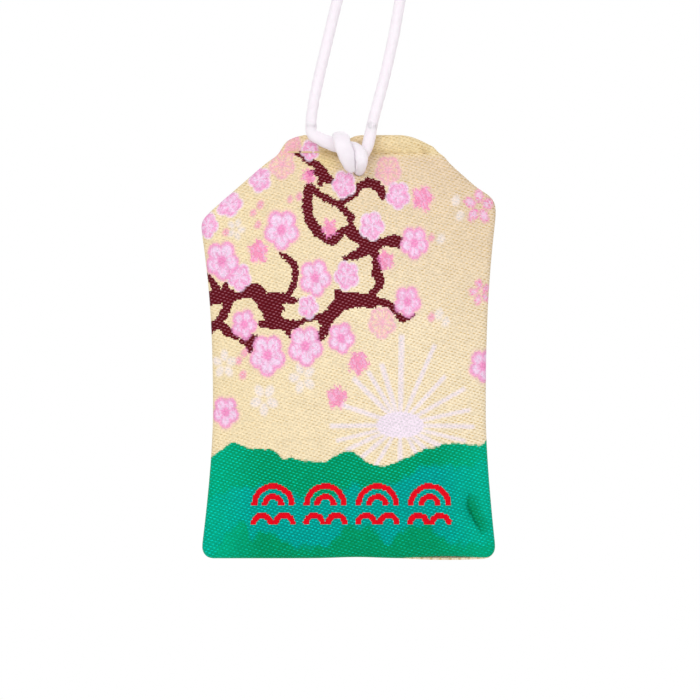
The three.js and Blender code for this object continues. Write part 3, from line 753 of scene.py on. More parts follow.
# Limbs of the bough: across, up and half thickness along each
LIMBS = [
    [(-9.4, 71.6, 0.3), (-8.0, 71.2, 0.5), (-7.1, 70.3, 0.55), (-5.6, 69.6, 0.6), (-4.7, 68.6, 0.7),
     (-4.3, 67.5, 0.8), (-3.1, 66.8, 0.6)],
    [(-4.7, 67.9, 0.55), (-6.6, 68.2, 0.45)],
    [(-4.7, 67.5, 0.55), (-5.0, 66.3, 0.45)],
    [(-7.1, 65.6, 0.6), (-5.4, 64.5, 0.55), (-3.6, 63.3, 0.55), (-2.0, 62.7, 0.55), (-0.4, 63.4, 0.45),
     (1.1, 64.1, 0.35), (1.7, 64.9, 0.3), (2.0, 65.9, 0.55), (3.3, 66.4, 0.8), (4.3, 66.3, 0.75),
     (5.4, 65.4, 0.75), (6.1, 64.1, 0.55)],
    [(-1.9, 62.7, 0.55), (-0.6, 61.3, 0.55), (0.4, 60.4, 0.65), (0.3, 59.4, 0.45), (0.8, 58.0, 0.55)],
    [(-7.0, 65.6, 0.75), (-7.3, 62.4, 0.8), (-7.0, 60.1, 0.8), (-5.6, 58.0, 0.9), (-4.3, 56.6, 0.7),
     (-2.7, 56.2, 0.8), (-1.0, 57.8, 0.65), (0.6, 57.4, 0.9), (2.4, 56.0, 0.8), (4.1, 55.1, 0.9),
     (6.3, 55.9, 0.7), (7.6, 56.0, 1.0), (8.4, 55.9, 1.1)],
    [(4.1, 55.0, 0.9), (1.5, 53.7, 0.8), (-0.7, 52.9, 0.35)],
    [(4.3, 54.6, 0.8), (4.9, 52.7, 0.7), (5.0, 50.0, 0.8), (5.6, 48.8, 0.7), (4.9, 47.4, 0.6),
     (3.6, 46.1, 0.6)],
    [(-12.1, 53.8, 0.2), (-10.9, 53.1, 0.5), (-9.8, 52.0, 0.55), (-9.4, 50.8, 0.5), (-9.5, 49.0, 0.5),
     (-10.0, 47.7, 0.45), (-10.7, 46.3, 0.45)],
    [(-2.0, 47.2, 0.3), (-1.1, 45.4, 1.4), (0.8, 45.6, 1.3), (2.9, 45.4, 1.1), (5.2, 45.3, 0.8),
     (7.0, 44.9, 0.6), (8.4, 43.5, 0.4), (9.3, 42.3, 0.5), (10.5, 42.6, 0.45), (11.6, 43.1, 0.2)],
    [(-1.0, 45.3, 1.3), (-2.4, 43.9, 1.15), (-3.8, 42.4, 1.05), (-5.7, 42.4, 0.55), (-7.4, 42.1, 0.35),
     (-8.8, 41.5, 0.55), (-10.5, 41.1, 0.9), (-12.3, 41.5, 1.05), (-13.3, 42.5, 1.6), (-13.9, 44.3, 1.6),
     (-15.3, 45.8, 1.3), (-16.3, 47.1, 1.25), (-17.7, 47.2, 1.05), (-19.5, 46.3, 0.6), (-21.8, 46.5, 1.05),
     (-25.5, 45.8, 1.25)],
    [(-13.3, 41.4, 0.95), (-15.5, 41.4, 0.45)],
    [(-14.2, 46.1, 0.8), (-11.9, 46.0, 0.8), (-10.3, 45.6, 0.65), (-8.7, 45.4, 0.1)],
    [(-12.8, 44.6, 0.7), (-11.4, 43.9, 0.2)],
    [(-10.9, 40.7, 0.55), (-10.3, 39.0, 0.2)],
    [(-3.9, 41.9, 0.9), (-4.2, 40.3, 0.8), (-5.3, 38.9, 0.7)],
    [(-25.3, 50.4, 0.2), (-23.9, 48.3, 0.55), (-23.2, 47.2, 0.7)],
    [(-21.8, 48.4, 0.35), (-21.6, 46.9, 0.7)],
    [(-21.3, 45.7, 0.9), (-21.7, 43.9, 0.7), (-22.5, 42.4, 0.75), (-23.7, 41.2, 0.8), (-25.6, 40.0, 0.8)],
    [(-22.9, 41.4, 0.8), (-21.2, 39.9, 0.7), (-20.0, 39.0, 0.45)],
    [(-19.0, 38.3, 0.3), (-17.7, 38.5, 0.9), (-16.3, 39.0, 0.3)],
    [(-17.6, 38.2, 0.85), (-17.5, 37.2, 0.5), (-17.3, 36.3, 0.12)],
]
# Blossoms: across, up and radius, and for one that leans over, by how much
BLOOMS = [
    (-11.8, 58.0, 3.0), (-22.4, 52.6, 2.9), (-5.9, 49.5, 2.75), (11.6, 55.7, 2.4), (10.4, 45.3, 2.3),
    (-18.5, 41.3, 2.2), (-14.3, 35.9, 3.1), (-7.6, 37.5, 3.0), (-1.3, 38.9, 2.3), (-21.8, 25.8, 2.3),
    (23.9, 34.0, 2.4),
]
WHITE_EDGED = [
    (-15.7, 67.0, 2.0), (-21.1, 62.5, 2.1, -0.95), (-25.1, 58.9, 2.0), (-0.8, 66.1, 2.1), (8.8, 64.1, 2.1),
    (4.1, 58.7, 2.2), (-0.3, 49.9, 2.2), (-19.3, 49.7, 2.1), (-7.1, 44.4, 1.8), (-6.8, 72.2, 1.6),
]
STARS = [
    (-15.9, 54.2, 1.8), (-3.4, 58.3, 1.4), (13.1, 63.6, 1.9), (6.6, 52.6, 1.5), (1.7, 34.5, 1.8),
    (-2.0, 28.4, 1.7), (-7.1, 67.5, 1.2),
]
FAINT_BLOSSOMS = [(7.0, 68.6, 2.4), (5.9, 41.6, 2.5), (-11.8, 69.7, 2.4), (-9.8, 73.1, 1.6)]
GHOSTS = [(-22.0, 34.3, 2.1), (-8.1, 31.9, 2.3), (-14.9, 28.1, 2.4), (-19.9, 58.1, 1.6)]
PARTED_BLOSSOMS = [(23.1, 62.2, 2.6), (23.4, 47.0, 1.9)]
PINK_PETALS = [
    (-15.6, 62.4, 0.8), (-16.9, 61.0, 0.7), (-16.0, 58.9, 0.7), (-10.3, 63.4, 0.6), (-8.7, 63.9, 0.7),
    (14.6, 56.6, 0.7), (14.6, 42.6, 0.8), (-18.4, 36.3, 0.8), (-19.4, 34.9, 0.7), (-18.7, 32.4, 0.8),
    (-21.7, 57.6, 0.7),
]
PALE_PETALS = [
    (19.0, 63.2, 1.0), (19.7, 60.5, 0.9), (16.3, 56.4, 0.9), (16.0, 43.1, 1.0), (17.2, 41.7, 0.9),
]
SUN_PLACE = (9.1, 23.6)
SUN_HALF = (4.2, 2.3)
# Sunbeams: degrees up from the right, reach and half width
RAYS = [
    (89, 15.9, 0.46), (66.5, 15.4, 0.36), (47, 11.8, 0.36), (29, 13.2, 0.34), (12, 12.8, 0.32),
    (-1.5, 13.2, 0.36), (-14, 12.0, 0.3), (-28, 10.0, 0.44), (-44, 9.0, 0.4), (-60, 9.0, 0.38),
    (-90, 9.0, 0.4), (-121, 9.0, 0.32), (-140, 9.5, 0.36), (-155, 10.5, 0.34), (-166, 11.6, 0.3),
    (-179, 12.4, 0.38), (161, 10.9, 0.4), (135, 11.7, 0.42), (121, 11.0, 0.36), (107, 11.3, 0.42),
]
# Upper edges of the three ridges, far to near
FAR_RIDGE = [
    (-26.5, 16.9), (-23.8, 18.2), (-22.7, 19.0), (-21.2, 20.1), (-20.4, 20.4), (-19.1, 20.0), (-17.4, 19.5),
    (-15.3, 19.3), (-13.6, 19.3), (-12.6, 18.7), (-11.4, 17.6), (-10.3, 17.9), (-8.9, 17.4), (-6.8, 17.3),
    (-5.0, 17.1), (-3.6, 17.4), (-2.0, 18.3), (0.2, 19.0), (1.7, 18.3), (3.1, 17.2), (4.7, 16.5),
    (6.1, 16.4), (7.7, 16.7), (9.1, 17.4), (11.2, 18.2), (13.5, 19.4), (15.0, 19.6), (17.0, 20.2),
    (19.3, 20.3), (22.3, 20.0), (23.6, 20.0), (24.6, 20.7), (26.8, 21.3),
]
MIDDLE_RIDGE = [
    (-26.5, 9.2), (-20.6, 12.1), (-15.3, 12.6), (-10.3, 11.7), (-5.0, 10.3), (-0.6, 12.4), (0.8, 13.0),
    (3.1, 12.3), (6.4, 12.6), (10.0, 14.2), (12.6, 16.0), (16.1, 16.5), (19.7, 16.0), (26.8, 17.4),
]
NEAR_RIDGE = [
    (-26.5, -1.0), (-24.4, 0.2), (-22.6, 2.6), (-20.6, 5.2), (-18.5, 6.5), (-17.1, 3.4), (-15.2, 4.9),
    (-13.0, 4.2), (-10.4, 2.6), (-8.0, 2.0), (-4.6, 2.2), (-2.4, 3.2), (-0.4, 5.9), (1.6, 5.6), (4.4, 5.2),
    (6.0, 3.0), (7.6, 2.8), (9.4, 4.9), (13.4, 6.0), (15.6, 4.6), (18.4, 2.6), (22.3, 2.2), (26.8, 2.6),
]
# Four wave crests in red: their places, and the arcs of each as across, up and radius
CRESTS = [(-13.3, 9.4), (-4.1, 9.4), (5.1, 9.4), (14.3, 9.4)]
CREST_ARCS = [(0, 0.1, 3.3), (0, 0.1, 1.45), (-1.95, -3.3, 1.5), (1.95, -3.3, 1.5)]
CREST_STROKE = 0.5
BLOSSOM_STRETCH = 1.17
PETALS = 5
PETAL_STEP = 2 * np.pi / PETALS
# Where straw is painted beside the hitch as the shade under the cord
HITCH_SHADE_PLACE, HITCH_SHADE_HALF = (-4.2, 70.2), (3.2, 1.8)
# How freely a yarn floats: the ground's own, then picture yarns with fewer and fewer ties
GROUND, TIED, SPARSE, HALF_TIED, LOOSE, UNTIED = 0.0, 1.0, 1.4, 1.5, 1.6, 2.0


def smooth_line(points, steps):
    """A round line through drawn points, with that many steps between them."""
    points = np.asarray(points, float)
    ends = np.vstack([2 * points[0] - points[1], points, 2 * points[-1] - points[-2]])
    share = np.linspace(0, 1, steps, endpoint=False)[:, None]
    runs = []
    for before, start, end, after in zip(ends, ends[1:], ends[2:], ends[3:]):
        bend = 2 * before - 5 * start + 4 * end - after
        turn = 3 * (start - end) + after - before
        runs.append(start + share * ((end - before) + share * (bend + share * turn)) / 2)
    return np.vstack([*runs, points[-1:]])


def chance(*numbers):
    """A settled chance value from 0 to 1 for each cell."""
    mixed = sum(number * factor for number, factor in zip(numbers, (12.9898, 78.233, 37.719)))
    wander = np.sin(mixed) * 43758.5453
    return wander - np.floor(wander)


def soft(inside, blur):
    """1 well inside an edge and 0 outside it, blurred by the interlacing over that width."""
    return np.clip(inside / blur + 0.5, 0, 1)


class Loom:
    """The cells of the front's cloth: where each lies flat, its dye and painted light, and how freely its
    yarn floats.
    """

    def __init__(self, x, height):
        self.x, self.height = x, height
        self.dye_and_light = {name: np.array(linear(*eye)[:3]) for name, eye in DYES_AND_PAINTED_LIGHT.items()}
        self.colour = np.tile(self.dye_and_light["cream"], (len(x), 1))
        self.floats = np.full(len(x), GROUND)
        self.streak = chance(np.floor((x + 0.4 * height) / 0.3), np.floor(height / 0.9))
        self.speckle = chance(np.floor(x / 0.2), np.floor(height / 0.2)) - 0.5

    def weave(self, share, name, strength=1.0, floating=TIED):
        share = np.asarray(share, float)
        self.colour += (share * strength)[:, None] * (self.dye_and_light[name] - self.colour)
        self.floats += share * (floating - self.floats)

    def around_blossom(self, place, lean):
        """Distance from a blossom's heart, and the angle off the middle of the nearest petal."""
        tilt = place[3] if len(place) > 3 else 0.0
        x, height = self.x - place[0], self.height - place[1]
        across = x * math.cos(tilt) + height * math.sin(tilt)
        up = (height * math.cos(tilt) - x * math.sin(tilt)) / BLOSSOM_STRETCH
        turn = np.arctan2(across, up) + lean
        return np.hypot(across, up), (turn + PETAL_STEP / 2) % PETAL_STEP - PETAL_STEP / 2

    def inside_limb(self, limb):
        """How far inside a tapering limb of the bough each cell lies."""
        line = smooth_line(limb, 5)
        deepest = np.full(self.x.shape, -np.inf)
        for start, end in zip(line, line[1:]):
            way = end[:2] - start[:2]
            x, height = self.x - start[0], self.height - start[1]
            along = np.clip((x * way[0] + height * way[1]) / max(way @ way, 1e-9), 0, 1)
            gap = np.hypot(x - along * way[0], height - along * way[1])
            deepest = np.maximum(deepest, start[2] + along * (end[2] - start[2]) - gap)
        return deepest


def weave_ground(loom):
    """Cream, darkening to sand towards the upper right as painted shade, and strawy to the left. Straw is
    painted as shade on the lip, under the mouth seam and beside the hitch, and paler cream as painted
    light over the seam right of the hitch.
    """
    x, height = loom.x, loom.height
    over_seam = height - SEAM_HEIGHT
    # painted shade: the ground darkens to sand towards the upper right
    loom.weave(soft(height - 62 + 0.6 * x, 34), "shade_sand", 0.85, GROUND)
    loom.weave(soft(-x - 6, 34), "straw", 0.32, GROUND)
    # painted light: paler cream over the mouth seam, right of the hitch
    loom.weave(soft(over_seam + 0.7, 1.2) * soft(x - 4, 4), "cream", 0.7, GROUND)
    # painted shade: straw on the lip over the mouth seam, more of it right of the hitch
    loom.weave(soft(over_seam, 0.6), "straw", 0.25 + 0.2 * (x > 4), GROUND)
    # painted shade: a straw patch beside the hitch
    loom.weave(bell(within_oval(x, height, HITCH_SHADE_PLACE, HITCH_SHADE_HALF), 1), "straw", 0.7, GROUND)
    # painted shadow: a straw line just under the mouth seam
    loom.weave(bell(over_seam + 0.2, 0.5), "straw", 0.35, GROUND)


def weave_parted_blossoms(loom):
    """Five petals that stand apart: pale ones like ghosts, and pink ones with white hearts."""
    for index, place in enumerate(GHOSTS + PARTED_BLOSSOMS):
        radius = place[2]
        gap, turn = loom.around_blossom(place, 0.3 * index)
        along, aside = gap * np.cos(turn) - 0.64 * radius, gap * np.sin(turn)
        oval = (1 - np.hypot(along / (0.42 * radius), aside / (0.31 * radius))) * 0.32 * radius
        pink = index >= len(GHOSTS)
        petal = soft(oval + 0.3 * loom.speckle * pink, 0.4)
        loom.weave(petal, "deep_pink" if pink else "ghost", 0.75 + 0.4 * loom.speckle)
        loom.weave(soft(oval - 0.3, 0.4) * pink * (loom.streak < 0.8), "white_petal", 0.65)


def weave_faint_blossoms(loom):
    """Blossoms in thin salmon streaks, with pink rims and veins."""
    for place in FAINT_BLOSSOMS:
        radius = place[2]
        gap, turn = loom.around_blossom(place, PETAL_STEP / 2)
        inside = radius * (0.78 + 0.22 * np.abs(np.cos(PETALS / 2 * turn)) ** 0.6) - gap
        loom.weave(soft(inside, 0.5), "salmon", 0.15 + 0.5 * loom.streak, HALF_TIED)
        loom.weave(bell(inside - 0.3 + 0.4 * loom.speckle, 0.26), "pink", 0.55, HALF_TIED)
        veins = np.minimum(bell(gap * np.sin(turn), 0.2) + bell(gap * np.cos(PETALS / 2 * turn), 0.2), 1)
        loom.weave(veins * soft(0.75 * radius - gap + loom.speckle, 0.8), "pink", 0.55, HALF_TIED)


def bloom_shapes(loom):
    """Of each full blossom: radius, distance from its heart, offset in the petal, depth inside it."""
    shapes = []
    for index, place in enumerate(BLOOMS):
        radius = place[2]
        gap, turn = loom.around_blossom(place, PETAL_STEP / 2 + 0.1 * (index % 3))
        along, aside = gap * np.cos(turn) - 0.56 * radius, gap * np.sin(turn)
        petal = (1 - np.hypot(along, aside) / (0.47 * radius)) * 0.44 * radius
        shapes.append((radius, gap, aside, petal))
    return shapes


def star_shapes(loom):
    """How far inside each small ragged star a cell lies."""
    shapes = []
    for index, place in enumerate(STARS):
        gap, turn = loom.around_blossom(place, 0.5 * index)
        edge = place[2] * (0.72 + 0.28 * np.abs(np.cos(PETALS / 2 * turn)))
        shapes.append(edge - gap + 0.5 * (loom.streak - 0.5))
    return shapes


def weave_bough(loom):
    """The dark bough, ragged where its yarn starts and stops."""
    ragged = chance(np.floor(loom.x / 0.45), np.floor(loom.height / 0.42)) - 0.2
    ragged = 0.12 * loom.speckle + 0.3 * ragged
    for limb in LIMBS:
        loom.weave(loom.inside_limb(limb) + ragged > 0, "maroon")


def weave_petals(loom):
    """Single petals in the air."""
    for index, place in enumerate(PINK_PETALS + PALE_PETALS):
        across, up = loom.x - place[0], loom.height - place[1]
        inside = place[2] - np.hypot(across / 0.8, up - 0.2 * across)
        name = "deep_pink" if index < len(PINK_PETALS) else "ghost"
        loom.weave(soft(inside + 0.3 * loom.speckle, 0.5), name, 0.65)


def weave_stars(loom, shapes):
    for inside in shapes:
        loom.weave(soft(inside + 0.5 * loom.speckle, 0.25), "deep_pink", 0.8, LOOSE)
        loom.weave(soft(inside - 0.3, 0.3) * (loom.streak > 0.7), "pale_petal", 0.6, LOOSE)


def weave_white_edged(loom):
    """Pink blossoms with a white rim, dark seams between the petals and white veins."""
    for index, place in enumerate(WHITE_EDGED):
        radius = place[2]
        gap, turn = loom.around_blossom(place, PETAL_STEP / 2 + 0.2 * (index % 3 - 1))
        inside = radius * (0.8 + 0.27 * np.abs(np.cos(PETALS / 2 * turn)) ** 0.6) - gap
        loom.weave(soft(inside, 0.3), "white_petal", 0.85, LOOSE)
        loom.weave(soft(inside - 0.3 + 0.3 * loom.speckle, 0.3), "pink", 0.9, LOOSE)
        loom.weave(soft(inside - 0.75 + 0.4 * loom.speckle, 0.3), "pale_petal", 0.6, LOOSE)
        loom.weave(soft(inside - 0.5, 0.4) * (loom.streak > 0.7), "white_petal", 0.7, LOOSE)
        seam = bell(gap * np.cos(PETALS / 2 * turn), 0.25) * soft(0.85 * radius - gap, 0.3)
        loom.weave(seam, "deep_pink", 0.45, LOOSE)
        vein = bell(gap * np.sin(turn), 0.17) * soft(0.62 * radius - gap, 0.4)
        loom.weave(vein, "white_petal", 0.75, LOOSE)


def weave_blooms(loom, shapes):
    """Full blossoms: pink rims, petals that pale inwards, dark veins and a dark heart."""
    for radius, gap, aside, petal in shapes:
        loom.weave(soft(petal + 0.08 + 0.2 * loom.speckle, 0.3), "pink", 0.9, LOOSE)
        loom.weave(soft(0.62 * radius - gap, 0.4), "pink", 0.9, LOOSE)
        loom.weave(soft(petal - 0.3 + 0.2 * loom.speckle, 0.25), "pale_petal", 0.85, LOOSE)
        loom.weave(soft(petal - 0.48 + 0.15 * loom.speckle, 0.3), "white_petal", 0.85, LOOSE)
        loom.weave(soft(petal - 0.2, 0.4) * (loom.streak > 0.72), "pink", 0.5, LOOSE)
        vein = bell(aside, 0.14) * soft(petal - 0.1, 0.4) * soft(0.62 * radius - gap, 0.5)
        loom.weave(vein, "deep_pink", 0.4, LOOSE)
        loom.weave(soft(0.24 * radius - gap + 0.5 * loom.speckle, 0.4), "deep_pink", 0.3, LOOSE)


def weave_sun(loom):
    """An oval sun, and beams that widen outwards between paler rims."""
    across, up = loom.x - SUN_PLACE[0], loom.height - SUN_PLACE[1]
    for degrees, reach, half_width in RAYS:
        way = (math.cos(math.radians(degrees)), math.sin(math.radians(degrees)))
        along, aside = across * way[0] + up * way[1], np.abs(across * way[1] - up * way[0])
        width = half_width * np.clip(0.45 + along / 9, 0.3, 1)
        lit = soft(reach - along, 0.6)
        loom.weave(soft(width - aside + 0.12 * loom.speckle, 0.3) * lit * (along > 0), "sun", 0.72)
        rim = bell(aside - width + 0.05, 0.13) * lit * (along > 2.5)
        loom.weave(rim * (loom.streak > 0.25), "ghost", 0.7)
    disc = 1 - within_oval(loom.x, loom.height, SUN_PLACE, SUN_HALF)
    loom.weave(soft(disc + 0.05 * loom.speckle, 0.08), "sun")


def weave_hills(loom):
    """Three ridges: a stepped edge on the far one, mottled edges on the nearer ones, and a painted sheen of
    mint towards their left and right sides.
    """
    x, height = loom.x, loom.height
    steps = 0.26 * (chance(np.floor(x / 0.6), np.floor(height / 0.4)) - 0.5)
    mottle = 0.5 * np.sin(1.7 * x + 0.9 * height) * np.sin(1.1 * height - 0.6 * x) + 0.7 * loom.speckle
    hills = [
        (FAR_RIDGE, "green", steps, 0.2, 0.7, TIED),
        (MIDDLE_RIDGE, "teal", mottle, 0.9, 0.7, TIED),
        (NEAR_RIDGE, "green", mottle, 0.9, 1.0 - 0.3 * (x > 0), SPARSE),
    ]
    for ridge, name, edge, blur, sheen_share, floating in hills:
        line = smooth_line(ridge, 6)
        hill = soft(np.interp(x, line[:, 0], line[:, 1]) - height + edge, blur)
        loom.weave(hill, name, 1.0, floating)
        # painted sheen: mint laid on each ridge towards the left and right sides
        loom.weave(hill * soft(np.abs(x) - 19.5, 8), "sheen_mint", sheen_share, floating)


def weave_corner_crease(loom):
    """Painted shadow in the line of the corner's crease, and plain green, a little darker, on its flank."""
    gap, side, along = line_gap(loom.x, loom.height, CORNER_CREASE)
    fold = np.sin(np.pi * along) ** 0.5
    flank = soft(np.where(side < 0, gap, -gap), 0.3) * soft(1.7 - gap, 1.6) * fold
    loom.weave(flank, "green", 1.0, SPARSE)
    loom.weave(flank, "deep_green", 0.2, SPARSE)
    # painted shadow along the crease line
    loom.weave(bell(gap, 0.28) * fold, "deep_green", 0.85, SPARSE)


def weave_crests(loom):
    """Red wave crests, with darker rims and streaks."""
    for place in CRESTS:
        for arc_x, arc_height, radius in CREST_ARCS:
            across, up = loom.x - place[0] - arc_x, loom.height - place[1] - arc_height
            stroke = CREST_STROKE - np.abs(np.hypot(across, up) - radius)
            crest = (stroke + 0.1 * loom.speckle > 0) & (up > -0.1)
            loom.weave(crest, "red", 1.0, UNTIED)
            dark = np.maximum(soft(0.14 - stroke, 0.12), 0.5 * (loom.streak > 0.75))
            loom.weave(crest * dark, "crimson", 0.6, UNTIED)


def woven_picture(x, height):
    """The dye and painted light of each cell of the brocade, and how freely its yarn floats, in the order of
    weaving.
    """
    loom = Loom(x, height)
    weave_ground(loom)
    weave_parted_blossoms(loom)
    weave_faint_blossoms(loom)
    blooms, stars = bloom_shapes(loom), star_shapes(loom)
    for *_, petal in blooms:
        loom.weave(soft(petal + 0.35, 0.6), "salmon", 0.35)
    for inside in stars:
        loom.weave(soft(inside + 0.3, 0.8), "salmon", 0.3)
    weave_bough(loom)
    weave_petals(loom)
    weave_stars(loom, stars)
    weave_white_edged(loom)
    weave_blooms(loom, blooms)
    weave_sun(loom)
    weave_hills(loom)
    weave_corner_crease(loom)
    weave_crests(loom)
    return loom.colour, loom.floats


def lay_dyes_and_light(piece, pictured):
    """Writes each cell's dye and painted light, and its float, on the panel's faces, from its flat place."""
    mesh = piece.data
    uv = np.empty(len(mesh.loops) * 2)
    mesh.uv_layers["cloth"].data.foreach_get("uv", uv)
    starts = np.empty(len(mesh.polygons), int)
    mesh.polygons.foreach_get("loop_start", starts)
    middle = np.add.reduceat(uv.reshape(-1, 2), starts) / np.diff(np.append(starts, len(uv) // 2))[:, None]
    x, height = (middle[:, 0] - 0.5) * CLOTH_SPAN, middle[:, 1] * CLOTH_SPAN
    if pictured:
        colour, floats = woven_picture(x, height)
    else:
        colour, floats = np.tile(linear(*DYES_AND_PAINTED_LIGHT["cream"])[:3], (len(x), 1)), np.zeros(len(x))
    dye_and_light_layer = mesh.attributes.new("dye_and_light", "FLOAT_COLOR", "FACE")
    dye_and_light_layer.data.foreach_set("color", np.column_stack([colour, np.ones(len(x))]).ravel())
    floating = mesh.attributes.new("float_yarn", "FLOAT", "FACE")
    floating.data.foreach_set("value", floats)


PICK_PITCH = 0.213
SATIN_RUN = 1.69
SATIN_STEP = 3 / 8
END_WANDER = 0.5
# The ground's golden tie dashes are painted shadow at each binding point
TIE_SHADOW = (206, 173, 113)
TIE_REACH, FLOAT_TIE_REACH = 0.34, 0.27
TIE_FILL = 1.5
TIE_ROUND = 2.4
TIE_CHANCE, TIE_LEAST = 0.6, 0.6
# The ground's ties, with their painted shadow, show less towards its left edge
LEFT_TIE_EASE, LEFT_TIE_EASE_SLOPE = 0.5, 0.66
PICK_SHADE = 0.3
GRAIN_SHADE = 0.22
UNEVEN_SHADE = 0.12


def brocade_finish():
    """Eight-end satin: weft floats tied down by single warp ends, in slanting rows of dots."""
    finish, board, shader = new_finish("woven_brocade", 0.5, Specular_IOR_Level=0.03)
    flat = board.node("ShaderNodeUVMap", {"uv_map": "cloth"})
    split = board.node("ShaderNodeSeparateXYZ", sockets={"Vector": flat}, output="X")
    across, up = split * CLOTH_SPAN, split.part("Y") * CLOTH_SPAN
    uneven = board.noise(flat, 28.0, 2.0)
    across = across + (uneven - 0.5) * END_WANDER
    pick = up / PICK_PITCH
    row = board.sum("FLOOR", pick)
    within = pick - row - 0.5
    repeat = across / SATIN_RUN + row * SATIN_STEP
    gap = board.sum("ABSOLUTE", board.sum("FRACT", repeat) - 0.5) * SATIN_RUN
    floats = board.node("ShaderNodeAttribute", {"attribute_name": "float_yarn"}, output="Fac")
    floating = board.sum("MINIMUM", floats, 1.0)
    tie_reach = TIE_REACH - floating * (TIE_REACH - FLOAT_TIE_REACH)
    tied = board.sum("MAXIMUM", 1 - gap / tie_reach, 0.0)
    tied = board.sum("MINIMUM", tied * TIE_FILL, 1.0) * (1 - within * within * TIE_ROUND)
    luck = board.chance(board.sum("FLOOR", repeat), row)
    tied = tied * board.sum("MINIMUM", UNTIED - floats, 1.0) * (luck * TIE_CHANCE + TIE_LEAST)
    tied = tied * (1 - (1 - floating) * (LEFT_TIE_EASE - split * LEFT_TIE_EASE_SLOPE))
    grain = board.chance(board.sum("FLOOR", across / PICK_PITCH), row)
    dye_and_light = board.node("ShaderNodeAttribute", {"attribute_name": "dye_and_light"}, output="Color")
    # Ties: painted shadow on the ground; on picture yarns the lighter warp, turning to painted shade, a
    # darker tie, on pale yarns
    tie_warp_and_shade = board.node("ShaderNodeGamma", sockets={"Color": dye_and_light, "Gamma": 0.36})
    paleness = board.node("ShaderNodeRGBToBW", sockets={"Color": dye_and_light})
    tie_warp_and_shade = board.shade(tie_warp_and_shade, board.sum("MINIMUM", 0.74 + paleness * 1.7, 1.15 - paleness * 0.6))
    tie = board.mix(floating, linear(*TIE_SHADOW), tie_warp_and_shade)
    bound = board.mix(tied, dye_and_light, tie)
    body = 1.03 - within * within * PICK_SHADE + (grain - 0.5) * GRAIN_SHADE + (uneven - 0.5) * UNEVEN_SHADE
    board.feed(shader, {"Base Color": board.shade(bound, body)})
    board.feed(shader, {"Roughness": tied * 0.15 + 0.46})
    height = floating * 0.4 + (1 - tied) * 0.7 - within * within * 0.8
    board.feed(shader, {"Normal": board.bump(height, 0.6, 0.00005)})
    return finish


def sew_panel(name, node, side, crown, lift, creases, pictured):
    piece = cut_panel(name, side, crown, lift)
    swell_panel(piece)
    give_ply(piece, side, creases)
    lay_dyes_and_light(piece, pictured)
    piece.data.materials.append(brocade)
    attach(piece, "pouch")
    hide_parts(node)
    return piece


brocade = brocade_finish()
sew_panel("brocade_front", "front_panel", FRONT, FRONT_CROWN, FRONT_BASE_LIFT, front_creases, True)

# The back panel: the same brocade without its picture, plain cream, flatter than the front
# because it lies against what the charm hangs on.
BACK_BASE_LIFT = -0.28


def back_creases(x, height):
    ease = 0.08 * np.sin(0.38 * x - 0.29 * height) + 0.06 * np.sin(0.41 * height + 0.47 * x)
    return ease * np.clip(nearest_edge(x, height) / EASE_FADE, 0, 1)


sew_panel("brocade_back", "back_panel", BACK, BACK_CROWN, BACK_BASE_LIFT, back_creases, False)

# The sewing threads: two-ply polyester. One closes the edge seam between the panels, and a needle
# thread in front and a bobbin thread behind close the mouth in a row of stitches.
THREAD_DYE = (236, 216, 172)
EDGE_THREAD_DIAMETER = 0.2
MOUTH_THREAD_DIAMETER = 0.3
THREAD_INSET = 1.4
STITCH_LENGTH = 2.4
STITCH_STEPS = 8
STITCH_RISE = 0.16
STITCH_DIP = 0.22
PLY_TURN = 1.1
PLY_RELIEF = 0.2
THREAD_AROUND = 10
THREAD_STEP = 0.12
# How the cut end of a thread or cord closes, in radii, and how a spread cord thins
END_DOME, END_TAPER, END_NARROWING = 0.35, 0.95, 0.1
SPREAD_THINNING = -0.7


def walked(line, step):
    """The line again with its points a step apart, and how far along it each one is."""
    runs = np.linalg.norm(np.diff(line[:, :3], axis=0), axis=1)
    along = np.concatenate([[0], np.cumsum(runs)])
    even = np.linspace(0, along[-1], max(2, math.ceil(along[-1] / step)) + 1)
    return np.stack([np.interp(even, along, column) for column in line.T], axis=1), even


def carried_sides(line):
    """Two directions square to a line at each point, carried along it without twisting."""
    ways = np.gradient(line, axis=0)
    ways /= np.linalg.norm(ways, axis=1, keepdims=True)
    side = np.cross(ways[0], (0.0, 1.0, 0.0))
    if np.linalg.norm(side) < 0.1:
        side = np.cross(ways[0], (1.0, 0.0, 0.0))
    sides = []
    for way in ways:
        side = side - way * (side @ way)
        side = side / np.linalg.norm(side)
        sides.append(side)
    sides = np.array(sides)
    return sides, np.cross(ways, sides)


